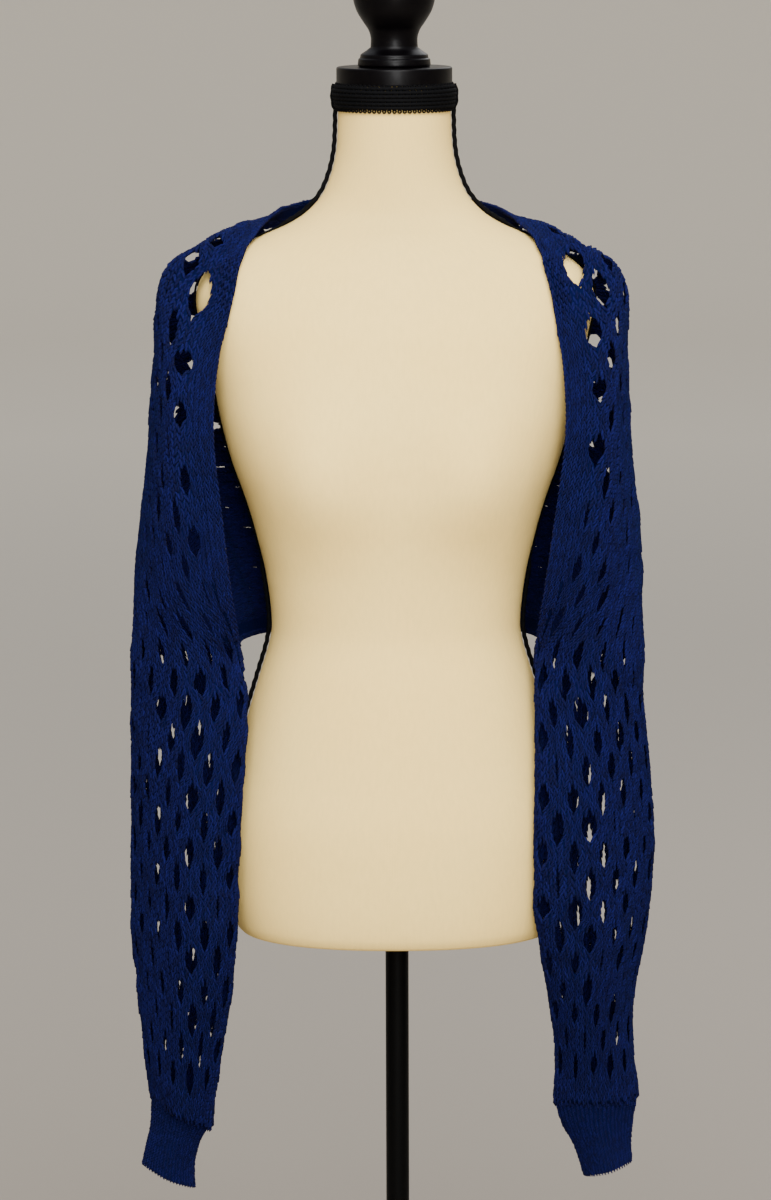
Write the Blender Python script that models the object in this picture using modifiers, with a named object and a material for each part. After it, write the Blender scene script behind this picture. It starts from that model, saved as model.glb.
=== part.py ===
"""An openwork knitted shrug with ribbed cuffs, worn open by a limbless dress form on a stand.

Metres, +Z up. The form faces -Y, +X is to the right seen from its front, and the origin is on
the floor under the middle of the stand. The shrug's tables are in millimetres.
"""

import math

import bmesh
import bpy
import numpy as np
from mathutils import Vector
from mathutils.bvhtree import BVHTree

MM = 0.001
SEAM_GAP = 0.3 * MM

# The stand and the form
BASE_RADIUS = 0.17
BASE_THICKNESS = 0.012
BASE_ROUNDING = 0.004
BASE_SIDES = 28
HUB_RADIUS = 0.026
HUB_TOP = 0.05
HUB_CHAMFER = 0.003
HUB_FILLET = 0.004
SOCKET_FLOOR = 0.006
POLE_RADIUS = 0.0102
POLE_SIDES = 16
FORM_BOTTOM = 0.731
NECK_TOP = 1.4685
NECK_RADIUS = 0.048
CAP_TOP = 1.483
CAP_RADIUS = 0.0495
CAP_ROUNDING = 0.003
CAP_CHAMFER = 0.002
CAP_SIDES = 28
FINIAL_SIDES = 20
FORM_SEGMENTS = 28
# The form's sections are ovals, squarer below the slope of the shoulders
OVAL = 2.0
SQUARENESS = 0.3
SHOULDER_TOP = 1.36
SHOULDER_BLEND = 0.03
BUST_APEX = (0.075, 1.14)
BUST_SPREAD = (0.046, 0.062)
BUST_DEPTH = 0.020
BUST_FADE = 1.6
PIPING_START = 0.1
PIPING_TOP = 1.4475
PIPING_RADIUS = 0.0022
PIPING_PRESSED = 0.5
PIPING_COVERED = (1.06, 1.345)

# The form's level sections: height, half width, depth to the front and depth to the back
FORM_SECTIONS = (
    (0.731, 0.141, 0.100, 0.102),
    (0.770, 0.148, 0.106, 0.112),
    (0.830, 0.150, 0.108, 0.116),
    (0.880, 0.140, 0.103, 0.107),
    (0.924, 0.1287, 0.098, 0.096),
    (0.957, 0.1188, 0.093, 0.086),
    (0.988, 0.1098, 0.088, 0.079),
    (1.010, 0.1083, 0.087, 0.078),
    (1.048, 0.1130, 0.090, 0.084),
    (1.080, 0.1205, 0.095, 0.090),
    (1.100, 0.1258, 0.099, 0.094),
    (1.120, 0.1322, 0.102, 0.096),
    (1.140, 0.1395, 0.103, 0.099),
    (1.160, 0.1455, 0.103, 0.100),
    (1.185, 0.1515, 0.101, 0.101),
    (1.215, 0.1570, 0.095, 0.101),
    (1.255, 0.1660, 0.083, 0.098),
    (1.282, 0.1710, 0.071, 0.091),
    (1.300, 0.1680, 0.063, 0.084),
    (1.314, 0.1570, 0.057, 0.079),
    (1.328, 0.1370, 0.051, 0.074),
    (1.340, 0.1120, 0.047, 0.069),
    (1.350, 0.0900, 0.0455, 0.066),
    (1.362, 0.0728, 0.0445, 0.061),
    (1.380, 0.0590, 0.045, 0.0555),
    (1.410, 0.0500, 0.0465, 0.0505),
    (1.448, 0.0480, 0.0480, 0.0480),
    (1.4685, 0.0480, 0.0480, 0.0480),
)
# The braid on the neck: how far each point stands out from the neck and below its top
TRIM_PROFILE = (
    (0.0000, 0.0000),
    (0.0020, -0.0004),
    (0.0050, 0.0035),
    (0.0042, 0.0100),
    (0.0048, 0.0165),
    (0.0018, 0.0195),
    (0.0000, 0.0195),
)
# The finial from its tip down to its foot: radius and height
FINIAL_PROFILE = (
    (0.0, 1.5868),
    (0.0135, 1.5853),
    (0.0250, 1.5795),
    (0.0336, 1.5670),
    (0.0361, 1.5530),
    (0.0353, 1.5420),
    (0.0321, 1.5304),
    (0.0261, 1.5204),
    (0.0221, 1.5144),
    (0.0200, 1.5075),
    (0.0202, 1.4995),
    (0.0251, 1.4950),
    (0.0293, 1.4915),
    (0.0308, 1.4895),
    (0.0312, 1.4843),
    (0.0302, 1.4833),
)

# The shrug
WALL = 3 * MM
BAND_WALL = 4 * MM
BAND_WIDTH = 18 * MM
BAND_RIDGE = 1.0 * MM
BAND_TIP = 1.0 * MM
BAND_TAPER_START = -75 * MM
BAND_TAPER_END = 25 * MM
TIP_GAP = 3.2 * MM
BACK_ROWS = 7
SLEEVE_ROWS = 34
CLEAR_OF_FORM = 5.6 * MM
RIB_RELIEF = 1.0 * MM
COLUMNS = 14
ROW_LENGTH = 23 * MM
HOLE_HALF_WIDTH = 0.30
HOLE_HALF_LENGTH = 0.43
LEAST_HOLE = 4.5 * MM
SECTION_STEPS = 64
ROW_STEPS = 12
# How far a surface normal looks to either side, as a share of the width and as a length
NORMAL_REACH = 0.012
NORMAL_STEP = 1.5 * MM
# The two rims of a seam are split on the same diagonals, which follow this direction
RIM_SPLIT = np.array((0.31, 0.17, -1.0))
CUFF_WALL = 2 * MM
CUFF_RIB = 1.4 * MM
CUFF_RIBS = 18
CUFF_RINGS = 5
CUFF_STEPS = 96

# One half of the shrug above the underarm, in mm and outwards from the middle of the back. A row
# is one section across the cloth: its free edge at the neck and front, the front of the sleeve,
# its outer side, its back, and the hem's free edge.
YOKE = (
    ((0, 74, 1362), (0, 101, 1275), (0, 109, 1180), (0, 102, 1080), (0, 94, 983)),
    ((45, 69, 1364), (47, 98, 1277), (48, 107, 1180), (47, 100, 1080), (45, 92, 982)),
    ((80, 46, 1363), (90, 80, 1296), (95, 97, 1192), (91, 95, 1080), (82, 87, 981)),
    ((104, 14, 1353), (124, 46, 1337), (134, 80, 1262), (128, 90, 1120), (104, 79, 980)),
    ((117, -18, 1336), (155, 2, 1336), (167, 46, 1282), (158, 80, 1130), (116, 70, 980)),
    ((131, -44, 1294), (176, -20, 1315), (198, 14, 1290), (182, 66, 1170), (122, 60, 980)),
    ((145, -64, 1242), (183, -58, 1255), (201, -4, 1245), (193, 50, 1130), (127, 48, 980)),
    ((149, -76, 1178), (185, -76, 1180), (205, -14, 1170), (203, 38, 1085), (130, 36, 980)),
    ((141, -80, 1105), (184, -84, 1105), (210, -24, 1105), (208, 22, 1045), (131, 18, 980)),
    ((134, -72, 1045), (181, -82, 1042), (216, -30, 1040), (205, 8, 1015), (132, 0, 980)),
)
# How far each row of the yoke sways to the left, in mm
YOKE_SWAY = (2, 2, 2, 3, 3, 3, 4, 5, 6, 7)
UNDERARM_ROW = len(YOKE)

# The hanging sleeves from the underarm to the cuff, in mm: the inner side's x, y and height, the
# outer side's x, y and height, and the y of the front and of the back halfway between them.
SLEEVES = {
    "left": (
        (-135, -42, 983, -227, -38, 983, -80, -4),
        (-130, -58, 944, -228, -36, 944, -84, -8),
        (-134, -80, 874, -229, -34, 874, -90, -22),
        (-139, -78, 803, -230, -32, 803, -90, -20),
        (-140, -74, 740, -229, -32, 740, -88, -20),
        (-148, -62, 672, -225, -36, 680, -80, -24),
        (-159, -52, 615, -221, -40, 630, -70, -26),
        (-166, -46, 562, -216, -40, 588, -62, -26),
    ),
    "right": (
        (121, -42, 983, 213, -38, 983, -80, -4),
        (121, -62, 946, 212, -36, 946, -86, -8),
        (120, -84, 876, 219, -34, 876, -94, -20),
        (119, -88, 808, 223, -30, 808, -98, -15),
        (123, -84, 743, 218, -30, 743, -94, -16),
        (133, -66, 680, 207, -34, 680, -82, -22),
        (139, -54, 634, 205, -38, 634, -72, -24),
        (138, -46, 584, 210, -40, 586, -62, -24),
    ),
}
# The cuffs in the same columns, from the sleeve's end down to the open mouth
CUFFS = {
    "left": (
        (-167, -45, 561, -215, -41, 587, -59, -27),
        (-175, -43, 547, -216, -41, 563, -56, -28),
        (-180, -42, 526, -220, -42, 544, -57, -27),
        (-180, -42, 505, -224, -42, 527, -59, -25),
    ),
    "right": (
        (139, -45, 583, 209, -41, 585, -60, -25),
        (145, -43, 563, 206, -41, 565, -57, -27),
        (157, -42, 540, 204, -42, 545, -56, -28),
        (165, -42, 515, 205, -42, 528, -58, -26),
    ),
}


def clear_scene():
    """Removes every object of the startup file."""
    for obj in list(bpy.data.objects):
        bpy.data.objects.remove(obj, do_unlink=True)


def new_material(name, colour, roughness):
    """A Principled BSDF of one colour."""
    material = bpy.data.materials.new(name)
    material.use_nodes = True
    shader = material.node_tree.nodes["Principled BSDF"]
    shader.inputs["Base Color"].default_value = (*colour, 1.0)
    shader.inputs["Roughness"].default_value = roughness
    return material


def new_object(name, data, material):
    """Puts mesh or curve data in the shrug's collection under this name."""
    obj = bpy.data.objects.new(name, data)
    data.materials.append(material)
    parts.objects.link(obj)
    return obj


def new_mesh(name, points, faces, material):
    """A smooth mesh object with its faces turned outwards."""
    mesh = bpy.data.meshes.new(name)
    mesh.from_pydata([tuple(map(float, p)) for p in points], [], faces)
    shape = bmesh.new()
    shape.from_mesh(mesh)
    bmesh.ops.recalc_face_normals(shape, faces=shape.faces)
    shape.to_mesh(mesh)
    shape.free()
    mesh.shade_smooth()
    mesh.set_sharp_from_angle(angle=math.radians(40))
    return new_object(name, mesh, material)


def turned(name, profile, material, steps):
    """A solid turned round the Z axis from a profile of (radius, height), from its top down."""
    mesh = bpy.data.meshes.new(name)
    edges = [(i, i + 1) for i in range(len(profile) - 1)]
    if profile[0][0] > 0:
        edges.append((len(profile) - 1, 0))
    mesh.from_pydata([(radius, 0.0, height) for radius, height in profile], edges, [])
    obj = new_object(name, mesh, material)
    screw = obj.modifiers.new("Turn", "SCREW")
    screw.steps = steps
    screw.render_steps = steps
    screw.use_merge_vertices = True
    screw.merge_threshold = 0.00001
    return obj


def arc(centre, radius, start, end, steps):
    """Points of (radius, height) on a circle round centre, from one angle to another in degrees."""
    angles = (math.radians(start + (end - start) * i / steps) for i in range(steps + 1))
    return [(centre[0] + radius * math.cos(a), centre[1] + radius * math.sin(a)) for a in angles]


def spline(rows, at):
    """The Catmull-Rom curve through rows at the parameter at, where row 0 is at 0."""
    last = len(rows) - 1
    at = min(max(at, 0.0), last)
    i = min(int(at), last - 1)
    f = at - i
    here = rows[i]
    there = rows[i + 1]
    before = rows[i - 1] if i > 0 else 2 * here - there
    after = rows[i + 2] if i + 2 <= last else 2 * there - here
    bend = 2 * before - 5 * here + 4 * there - after
    twist = 3 * here - before - 3 * there + after
    return here + 0.5 * f * (there - before + f * (bend + f * twist))


def form_point(half_width, front, back, height, angle):
    """A point of the form's level section, where angle 0 is the right side and 90 is the back."""
    below = min(1.0, max(0.0, (SHOULDER_TOP - height) / SHOULDER_BLEND))
    power = 2 / (OVAL + SQUARENESS * below)
    c = math.cos(angle)
    s = math.sin(angle)
    depth = back if s > 0 else front
    x = half_width * math.copysign(abs(c) ** power, c)
    y = depth * math.copysign(abs(s) ** power, s)
    if s < 0:
        away = ((abs(x) - BUST_APEX[0]) / BUST_SPREAD[0]) ** 2
        away += ((height - BUST_APEX[1]) / BUST_SPREAD[1]) ** 2
        y -= BUST_DEPTH * math.exp(-away) * min(1.0, -s * BUST_FADE)
    return (x, y, height)


def make_form():
    """The limbless form: level sections lofted from the flat underside to the neck's flat top."""
    rows = [np.array(row) for row in FORM_SECTIONS]
    points = []
    for height, half_width, front, back in rows:
        for k in range(FORM_SEGMENTS):
            angle = 2 * math.pi * k / FORM_SEGMENTS
            points.append(form_point(half_width, front, back, height, angle))
    faces = ring_faces(len(rows), FORM_SEGMENTS)
    faces.append(list(range(FORM_SEGMENTS))[::-1])
    faces.append([(len(rows) - 1) * FORM_SEGMENTS + k for k in range(FORM_SEGMENTS)])
    return new_mesh("form_torso", points, faces, jersey)


def ring_faces(rings, sides, start=0):
    """Quads between closed rings of points, the rings one after another from the index start."""
    faces = []
    for i in range(rings - 1):
        for k in range(sides):
            a = start + i * sides + k
            b = start + i * sides + (k + 1) % sides
            faces.append([a, b, b + sides, a + sides])
    return faces


def surface_of(obj):
    """A search tree over a mesh object's faces."""
    points = [v.co for v in obj.data.vertices]
    return BVHTree.FromPolygons(points, [tuple(f.vertices) for f in obj.data.polygons])


def off_form(point, clearance):
    """The point, moved straight out of the form where it is nearer than the clearance."""
    place, normal, _, far = form_surface.find_nearest(Vector(point))
    outside = (Vector(point) - place).dot(normal)
    near = far if outside > 0 else -far
    if near >= clearance:
        return np.array(point)
    return np.array(place + normal * clearance)


def sleeve_row(row):
    """The five control points of a closed section: its seam, front, outer side, back and seam."""
    seam = row[:3]
    outer = row[3:6]
    front, back = row[6:]
    mid_x = (seam[0] + outer[0]) / 2
    mid_z = (seam[2] + outer[2]) / 2
    return (seam, (mid_x, front, mid_z), outer, (mid_x, back, mid_z), seam)


class Half:
    """One side of the shrug: rows of control points, and sections at any length from the back."""

    def __init__(self, side):
        sign = -1 if side == "left" else 1
        yoke = np.array(YOKE, float)
        yoke[:, :, 0] = yoke[:, :, 0] * sign - np.array(YOKE_SWAY)[:, None]
        sleeve = np.array([sleeve_row(row) for row in SLEEVES[side]], float)
        self.rows = np.concatenate([yoke, sleeve]) * MM
        self.kept = {}
        fine = range(ROW_STEPS * (len(self.rows) - 1) + 1)
        fine = [spline(self.rows, i / ROW_STEPS)[2] for i in fine]
        steps = np.linalg.norm(np.diff(fine, axis=0), axis=1)
        self.lengths = np.concatenate([[0.0], np.cumsum(steps)])
        self.length = self.lengths[-1]
        self.underarm = self.lengths[ROW_STEPS * UNDERARM_ROW]
        self.tip = self.underarm + BAND_TAPER_END
        self.turn = -sign

    def row_at(self, along):
        """The row parameter at a length along the outer side from the middle of the back."""
        return np.interp(along, self.lengths, np.arange(len(self.lengths)) / ROW_STEPS)

    def section(self, along):
        """Points across the cloth at this length, from the free edge to the hem's free edge."""
        key = round(along, 6)
        if key not in self.kept:
            row = self.row_at(along)
            knots = spline(self.rows, row)
            if row > UNDERARM_ROW:
                knots[[0, 4]] = (knots[0] + knots[4]) / 2
            closed = min(1.0, max(0.0, row - (UNDERARM_ROW - 1)))
            before = (1 - closed) * (2 * knots[0] - knots[1]) + closed * knots[3]
            after = (1 - closed) * (2 * knots[4] - knots[3]) + closed * knots[1]
            padded = np.concatenate([[before], knots, [after]])
            line = [spline(padded, 1 + 4 * i / SECTION_STEPS) for i in range(SECTION_STEPS + 1)]
            self.kept[key] = np.array([off_form(p, CLEAR_OF_FORM) for p in line])
        return self.kept[key]

    def width(self, along):
        """The cloth's width at this length, from free edge to free edge."""
        return float(np.linalg.norm(np.diff(self.section(along), axis=0), axis=1).sum())

    def at(self, along, across):
        """The point at this length and at this share of the width, and the outward normal."""
        here = place_on(self.section(along), across)
        low = max(along - NORMAL_STEP, 0.0)
        high = min(along + NORMAL_STEP, self.length)
        tangent = place_on(self.section(high), across) - place_on(self.section(low), across)
        ahead = across + NORMAL_REACH
        behind = across - NORMAL_REACH
        if along < self.underarm:
            ahead = min(ahead, 1.0)
            behind = max(behind, 0.0)
        ahead = place_on(self.section(along), ahead - (ahead > 1))
        behind = place_on(self.section(along), behind + (behind < 0))
        normal = np.cross(ahead - behind, tangent)
        return here, self.turn * normal / np.linalg.norm(normal)


def place_on(line, share):
    """The point at a share of a line's length."""
    steps = np.linalg.norm(np.diff(line, axis=0), axis=1)
    lengths = np.concatenate([[0.0], np.cumsum(steps)])
    at = share * lengths[-1]
    return np.array([np.interp(at, lengths, line[:, axis]) for axis in range(3)])


def taper(half, along):
    """How far the knitted bands have narrowed at this length, from 0 to 1 at their tips."""
    start = half.underarm + BAND_TAPER_START
    return min(1.0, max(0.0, (along - start) / (half.tip - start)))


def band_width(half, along):
    """The knitted band's width, which narrows to a tip just below the underarm."""
    return BAND_WIDTH + taper(half, along) * (BAND_TIP - BAND_WIDTH)


def wall(name, points, normals, faces, inner, outer, material):
    """A closed wall round an open surface: inner and outer are its depths at each point."""
    points = np.array(points)
    normals = np.array(normals)
    count = len(points)
    under = points - normals * np.array(inner)[:, None]
    over = points + normals * np.array(outer)[:, None]
    solid = [list(face) for face in faces]
    solid += [[i + count for i in face][::-1] for face in faces]
    sides = {(a, b) for face in faces for a, b in zip(face, face[1:] + face[:1])}
    corners = np.concatenate([over, under])
    for a, b in sorted(sides):
        if (b, a) in sides:
            continue
        rim = [b, a, a + count, b + count]
        if (points[b] - points[a]) @ RIM_SPLIT > 0:
            rim = rim[1:] + rim[:1]
        solid += [rim[:3], [rim[0], rim[2], rim[3]]]
    return new_mesh(name, corners, solid, material)


def openwork(name, places, sizes, first, material):
    """A net of knitted ribs: a leaf-shaped gap in every other cell of every other column.

    places(row, column) gives the point and normal at a place between the grid's lines, sizes is
    the number of rows and columns, and first is the row and column of the whole pattern that
    this panel starts from.
    """
    rows, columns = sizes
    first_row, first_column = first
    points, normals, raised, faces = [], [], [], []

    def add(row, column, relief):
        point, normal = places(row, column)
        points.append(point)
        normals.append(normal)
        raised.append(WALL / 2 + relief)
        return len(points) - 1

    def relief_at(row, column):
        return 0.0 if row in (0, rows) or column in (0, columns) else RIB_RELIEF

    lines = [[add(i, j, relief_at(i, j)) for j in range(columns + 1)] for i in range(rows + 1)]
    gaps = 0
    for i in range(rows):
        for j in range(columns):
            corners = [lines[i][j], lines[i][j + 1], lines[i + 1][j + 1], lines[i + 1][j]]
            column = first_column + j
            centre_row = i + 0.5
            centre_column = j + 0.5
            wide = place_distance(places, centre_row, centre_column, 0.0, HOLE_HALF_WIDTH)
            long = place_distance(places, centre_row, centre_column, HOLE_HALF_LENGTH, 0.0)
            turn = (first_row + i + column // 2) % 2
            if column % 2 or turn or min(wide, long) < LEAST_HOLE:
                faces.append(corners)
                continue
            gaps += 1
            top = add(centre_row - HOLE_HALF_LENGTH, centre_column, 0.0)
            right = add(centre_row, centre_column + HOLE_HALF_WIDTH, 0.0)
            bottom = add(centre_row + HOLE_HALF_LENGTH, centre_column, 0.0)
            left = add(centre_row, centre_column - HOLE_HALF_WIDTH, 0.0)
            leaf = [top, right, bottom, left]
            for k in range(4):
                faces.append([corners[k], corners[(k + 1) % 4], leaf[k]])
                faces.append([corners[k], leaf[k], leaf[k - 1]])
    print(name, "has", gaps, "gaps")
    inner = [WALL / 2] * len(points)
    return wall(name, points, normals, faces, inner, raised, material)


def place_distance(places, row, column, half_rows, half_columns):
    """How far apart two places on either side of a cell's centre lie."""
    ahead = places(row + half_rows, column + half_columns)[0]
    behind = places(row - half_rows, column - half_columns)[0]
    return float(np.linalg.norm(ahead - behind))


def panel_share(half, along, column):
    """The share of the width at a grid column, which run evenly between the bands' seams."""
    seam = SEAM_GAP / 2
    if along < half.tip:
        seam = band_width(half, along) + SEAM_GAP + taper(half, along) * TIP_GAP
    width = half.width(along)
    start = seam / width
    return start + (1 - 2 * start) * column / COLUMNS


def make_back():
    """The back panel, from one armhole seam to the other."""
    count = BACK_ROWS

    def places(row, column):
        along = (row - count) * ROW_LENGTH
        half = halves["right"] if along >= 0 else halves["left"]
        reach = min(abs(along), count * ROW_LENGTH - SEAM_GAP / 2)
        return half.at(reach, panel_share(half, reach, column))

    return openwork("back_panel", places, (2 * count, COLUMNS), (0, 0), yarn)


def make_sleeve(side, layer):
    """The front or the back of one sleeve, from the armhole seam to the cuff."""
    half = halves[side]
    start = BACK_ROWS * ROW_LENGTH
    rows = SLEEVE_ROWS
    pitch = (half.length - start) / rows
    first_row = 0 if side == "right" else 1
    first = 0 if layer == "front" else COLUMNS // 2

    def places(row, column):
        along = start + row * pitch
        along = min(max(along, start + SEAM_GAP / 2), half.length - SEAM_GAP / 2)
        share = panel_share(half, along, first + column)
        split = SEAM_GAP / 2 / half.width(along)
        if layer == "front" and column >= COLUMNS // 2:
            share -= split
        if layer == "back" and column <= 0:
            share += split
        return half.at(along, share)

    name = "sleeve_{}_{}".format(side, layer)
    return openwork(name, places, (rows, COLUMNS // 2), (first_row, first), yarn)


def band_stations():
    """Signed lengths of the band's sections, which are the panels' own rows."""
    stations = {}
    for side, half in halves.items():
        start = BACK_ROWS * ROW_LENGTH
        pitch = (half.length - start) / SLEEVE_ROWS
        back = [i * ROW_LENGTH for i in range(BACK_ROWS + 1)]
        sleeve = [start + i * pitch for i in range(1, SLEEVE_ROWS)]
        stations[side] = [s for s in back + sleeve if s <= half.tip + 1e-6]
    left = [("left", s) for s in stations["left"][:0:-1]]
    return left + [("right", s) for s in stations["right"]]


def make_band(name, at_hem):
    """A knitted band along one free edge of the opening, with a soft ridge along its middle."""
    stations = band_stations()
    shares = (0.0, 0.5, 1.0)
    points, normals, outer = [], [], []
    for side, along in stations:
        half = halves[side]
        width = half.width(along)
        for share in shares:
            across = (share * band_width(half, along) + (1 - share) * SEAM_GAP / 2) / width
            point, normal = half.at(along, 1 - across if at_hem else across)
            points.append(point)
            normals.append(normal)
            outer.append(BAND_WALL / 2 if share == 0.5 else BAND_WALL / 2 - BAND_RIDGE)
    faces = []
    step = len(shares)
    for i in range(len(stations) - 1):
        for k in range(step - 1):
            a = i * step + k
            faces.append([a, a + 1, a + 1 + step, a + step])
    inner = [BAND_WALL / 2] * len(points)
    return wall(name, points, normals, faces, inner, outer, yarn)


def make_cuff(side):
    """A ribbed cuff: a flattened tube, its ribs raised outside a plain inside."""
    rows = np.array([sleeve_row(row) for row in CUFFS[side]], float) * MM
    sides = 2 * CUFF_RIBS
    outside, inside = [], []
    for i in range(CUFF_RINGS):
        knots = spline(rows, i * (len(rows) - 1) / (CUFF_RINGS - 1))
        padded = np.concatenate([[knots[3]], knots, [knots[1]]])
        line = [spline(padded, 1 + 4 * k / CUFF_STEPS) for k in range(CUFF_STEPS + 1)]
        line = np.array(line)
        middle = line[:-1].mean(axis=0)
        for k in range(sides):
            here = place_on(line, k / sides)
            away = place_on(line, (k + 0.5) / sides % 1) - place_on(line, (k - 0.5) / sides % 1)
            down = rows[-1].mean(axis=0) - rows[0].mean(axis=0)
            normal = np.cross(away, down)
            normal /= np.linalg.norm(normal)
            if normal @ (here - middle) < 0:
                normal = -normal
            outside.append(here + normal * (CUFF_RIB if k % 2 else 0.0))
            inside.append(here - normal * CUFF_WALL)
    start = CUFF_RINGS * sides
    faces = ring_faces(CUFF_RINGS, sides)
    faces += [face[::-1] for face in ring_faces(CUFF_RINGS, sides, start)]
    for row in (0, CUFF_RINGS - 1):
        for k in range(sides):
            a = row * sides + k
            b = row * sides + (k + 1) % sides
            faces.append([a, b, b + start, a + start])
    return new_mesh("cuff_" + side, outside + inside, faces, yarn)


def make_stand():
    """The weighted round base with its hub, and the pole that carries the form."""
    socket = POLE_RADIUS + SEAM_GAP
    rim_centre = (BASE_RADIUS - BASE_ROUNDING, BASE_THICKNESS - BASE_ROUNDING)
    base = [
        (0.0, SOCKET_FLOOR),
        (socket, SOCKET_FLOOR),
        (socket, HUB_TOP),
        (HUB_RADIUS - HUB_CHAMFER, HUB_TOP),
        (HUB_RADIUS, HUB_TOP - HUB_CHAMFER),
        (HUB_RADIUS, BASE_THICKNESS + HUB_FILLET),
        (HUB_RADIUS + HUB_FILLET, BASE_THICKNESS),
        *arc(rim_centre, BASE_ROUNDING, 90, 0, 2),
        (BASE_RADIUS, 0.0),
        (0.0, 0.0),
    ]
    turned("stand_base", base, lacquer, BASE_SIDES)
    pole = [
        (0.0, FORM_BOTTOM - SEAM_GAP),
        (POLE_RADIUS, FORM_BOTTOM - SEAM_GAP),
        (POLE_RADIUS, SOCKET_FLOOR + SEAM_GAP),
        (0.0, SOCKET_FLOOR + SEAM_GAP),
    ]
    turned("stand_pole", pole, lacquer, POLE_SIDES)


def make_neck():
    """The braid round the neck's top, the turned cap on the neck, and the finial on the cap."""
    inner = NECK_RADIUS + SEAM_GAP
    braid = [(inner + out, NECK_TOP - down) for out, down in TRIM_PROFILE]
    turned("neck_trim", braid, braid_material, FORM_SEGMENTS)
    seat = NECK_TOP + SEAM_GAP
    rim_centre = (CAP_RADIUS - CAP_ROUNDING, CAP_TOP - CAP_ROUNDING)
    cap = [
        (0.0, CAP_TOP),
        *arc(rim_centre, CAP_ROUNDING, 90, 0, 3),
        (CAP_RADIUS, seat + CAP_CHAMFER),
        (CAP_RADIUS - CAP_CHAMFER, seat),
        (0.0, seat),
    ]
    turned("neck_cap", cap, lacquer, CAP_SIDES)
    foot = FINIAL_PROFILE[-1][1]
    turned("neck_finial", [*FINIAL_PROFILE, (0.0, foot)], lacquer, FINIAL_SIDES)


def make_piping(side):
    """The cord sewn on the form's side seam, pressed flatter where the shrug lies on it."""
    sign = -1 if side == "left" else 1
    corners = [Vector((sign * row[1], 0.0, row[0])) for row in FORM_SECTIONS[:-2]]
    corners[0] = corners[0].lerp(corners[1], PIPING_START)
    corners.append(Vector((sign * NECK_RADIUS, 0.0, PIPING_TOP)))
    line, radii = [], []
    for i, corner in enumerate(corners):
        runs = [b - a for a, b in zip(corners[max(i - 1, 0):i + 2], corners[max(i, 1):i + 2])]
        outs = [Vector((run.z, 0.0, -run.x)).normalized() * sign for run in runs]
        out = sum(outs, Vector()).normalized()
        covered = PIPING_COVERED[0] < corner.z < PIPING_COVERED[1]
        radius = PIPING_RADIUS * (PIPING_PRESSED if covered else 1.0)
        line.append(corner + out * (radius + SEAM_GAP) / out.dot(outs[0]))
        radii.append(radius / PIPING_RADIUS)
    curve = bpy.data.curves.new("piping_" + side, "CURVE")
    curve.dimensions = "3D"
    strand = curve.splines.new("POLY")
    strand.points.add(len(line) - 1)
    for point, place, radius in zip(strand.points, line, radii):
        point.co = (*place, 1.0)
        point.radius = radius
    curve.bevel_depth = PIPING_RADIUS
    curve.bevel_resolution = 1
    curve.use_fill_caps = True
    return new_object("piping_" + side, curve, braid_material)


clear_scene()
parts = bpy.data.collections.new("Openwork shrug on a dress form")
bpy.context.scene.collection.children.link(parts)

yarn = new_material("Blue knitting yarn", (0.010, 0.035, 0.20), 0.85)
jersey = new_material("Cream jersey", (0.80, 0.72, 0.55), 0.75)
lacquer = new_material("Black lacquer", (0.012, 0.012, 0.014), 0.35)
braid_material = new_material("Black braid", (0.015, 0.015, 0.018), 0.8)

form_surface = surface_of(make_form())
make_stand()
make_neck()
make_piping("left")
make_piping("right")

halves = {"left": Half("left"), "right": Half("right")}
make_back()
for side in halves:
    make_sleeve(side, "front")
    make_sleeve(side, "back")
    make_cuff(side)
make_band("band_neck", False)
make_band("band_hem", True)
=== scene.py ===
"""The looks of an openwork knitted shrug, worn open by a limbless dress form on a stand.

Metres, +Z up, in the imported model's frame. The form faces -Y, +X is to the right seen from its
front, and the shrug's tables are in millimetres.
"""

import math

import bmesh
import bpy
import numpy as np
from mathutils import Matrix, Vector, noise
from mathutils.bvhtree import BVHTree


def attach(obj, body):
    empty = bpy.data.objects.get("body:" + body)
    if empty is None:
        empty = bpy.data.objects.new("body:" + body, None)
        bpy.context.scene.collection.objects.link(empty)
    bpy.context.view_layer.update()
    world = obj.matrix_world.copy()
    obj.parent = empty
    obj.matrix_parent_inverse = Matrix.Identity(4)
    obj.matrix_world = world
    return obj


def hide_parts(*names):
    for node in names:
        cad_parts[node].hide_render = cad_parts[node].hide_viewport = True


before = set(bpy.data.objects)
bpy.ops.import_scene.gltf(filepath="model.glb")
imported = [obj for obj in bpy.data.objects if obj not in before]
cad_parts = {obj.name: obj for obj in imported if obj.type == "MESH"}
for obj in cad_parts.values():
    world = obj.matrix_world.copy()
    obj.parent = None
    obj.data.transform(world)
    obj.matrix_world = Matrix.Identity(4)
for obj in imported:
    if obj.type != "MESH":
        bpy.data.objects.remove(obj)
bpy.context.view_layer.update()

# The camera
# It is held at eye height nearly four metres in front of the form and looks down at its waist.
IMAGE_HEIGHT = 1200
FOCAL_PIXELS = 4315
SENSOR = 36.0
CAMERA_PLACE = (-0.0068, -3.7, 1.67)
CAMERA_DOWN = 9.94  # degrees
CAMERA_ROLL = 0.2

camera_data = bpy.data.cameras.new("Camera")
camera_data.sensor_width = SENSOR
camera_data.lens = SENSOR * FOCAL_PIXELS / IMAGE_HEIGHT
camera = bpy.data.objects.new("Camera", camera_data)
camera.location = CAMERA_PLACE
camera.rotation_euler = (math.radians(90 - CAMERA_DOWN), math.radians(CAMERA_ROLL), 0.0)
bpy.context.scene.collection.objects.link(camera)
bpy.context.scene.camera = camera

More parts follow.
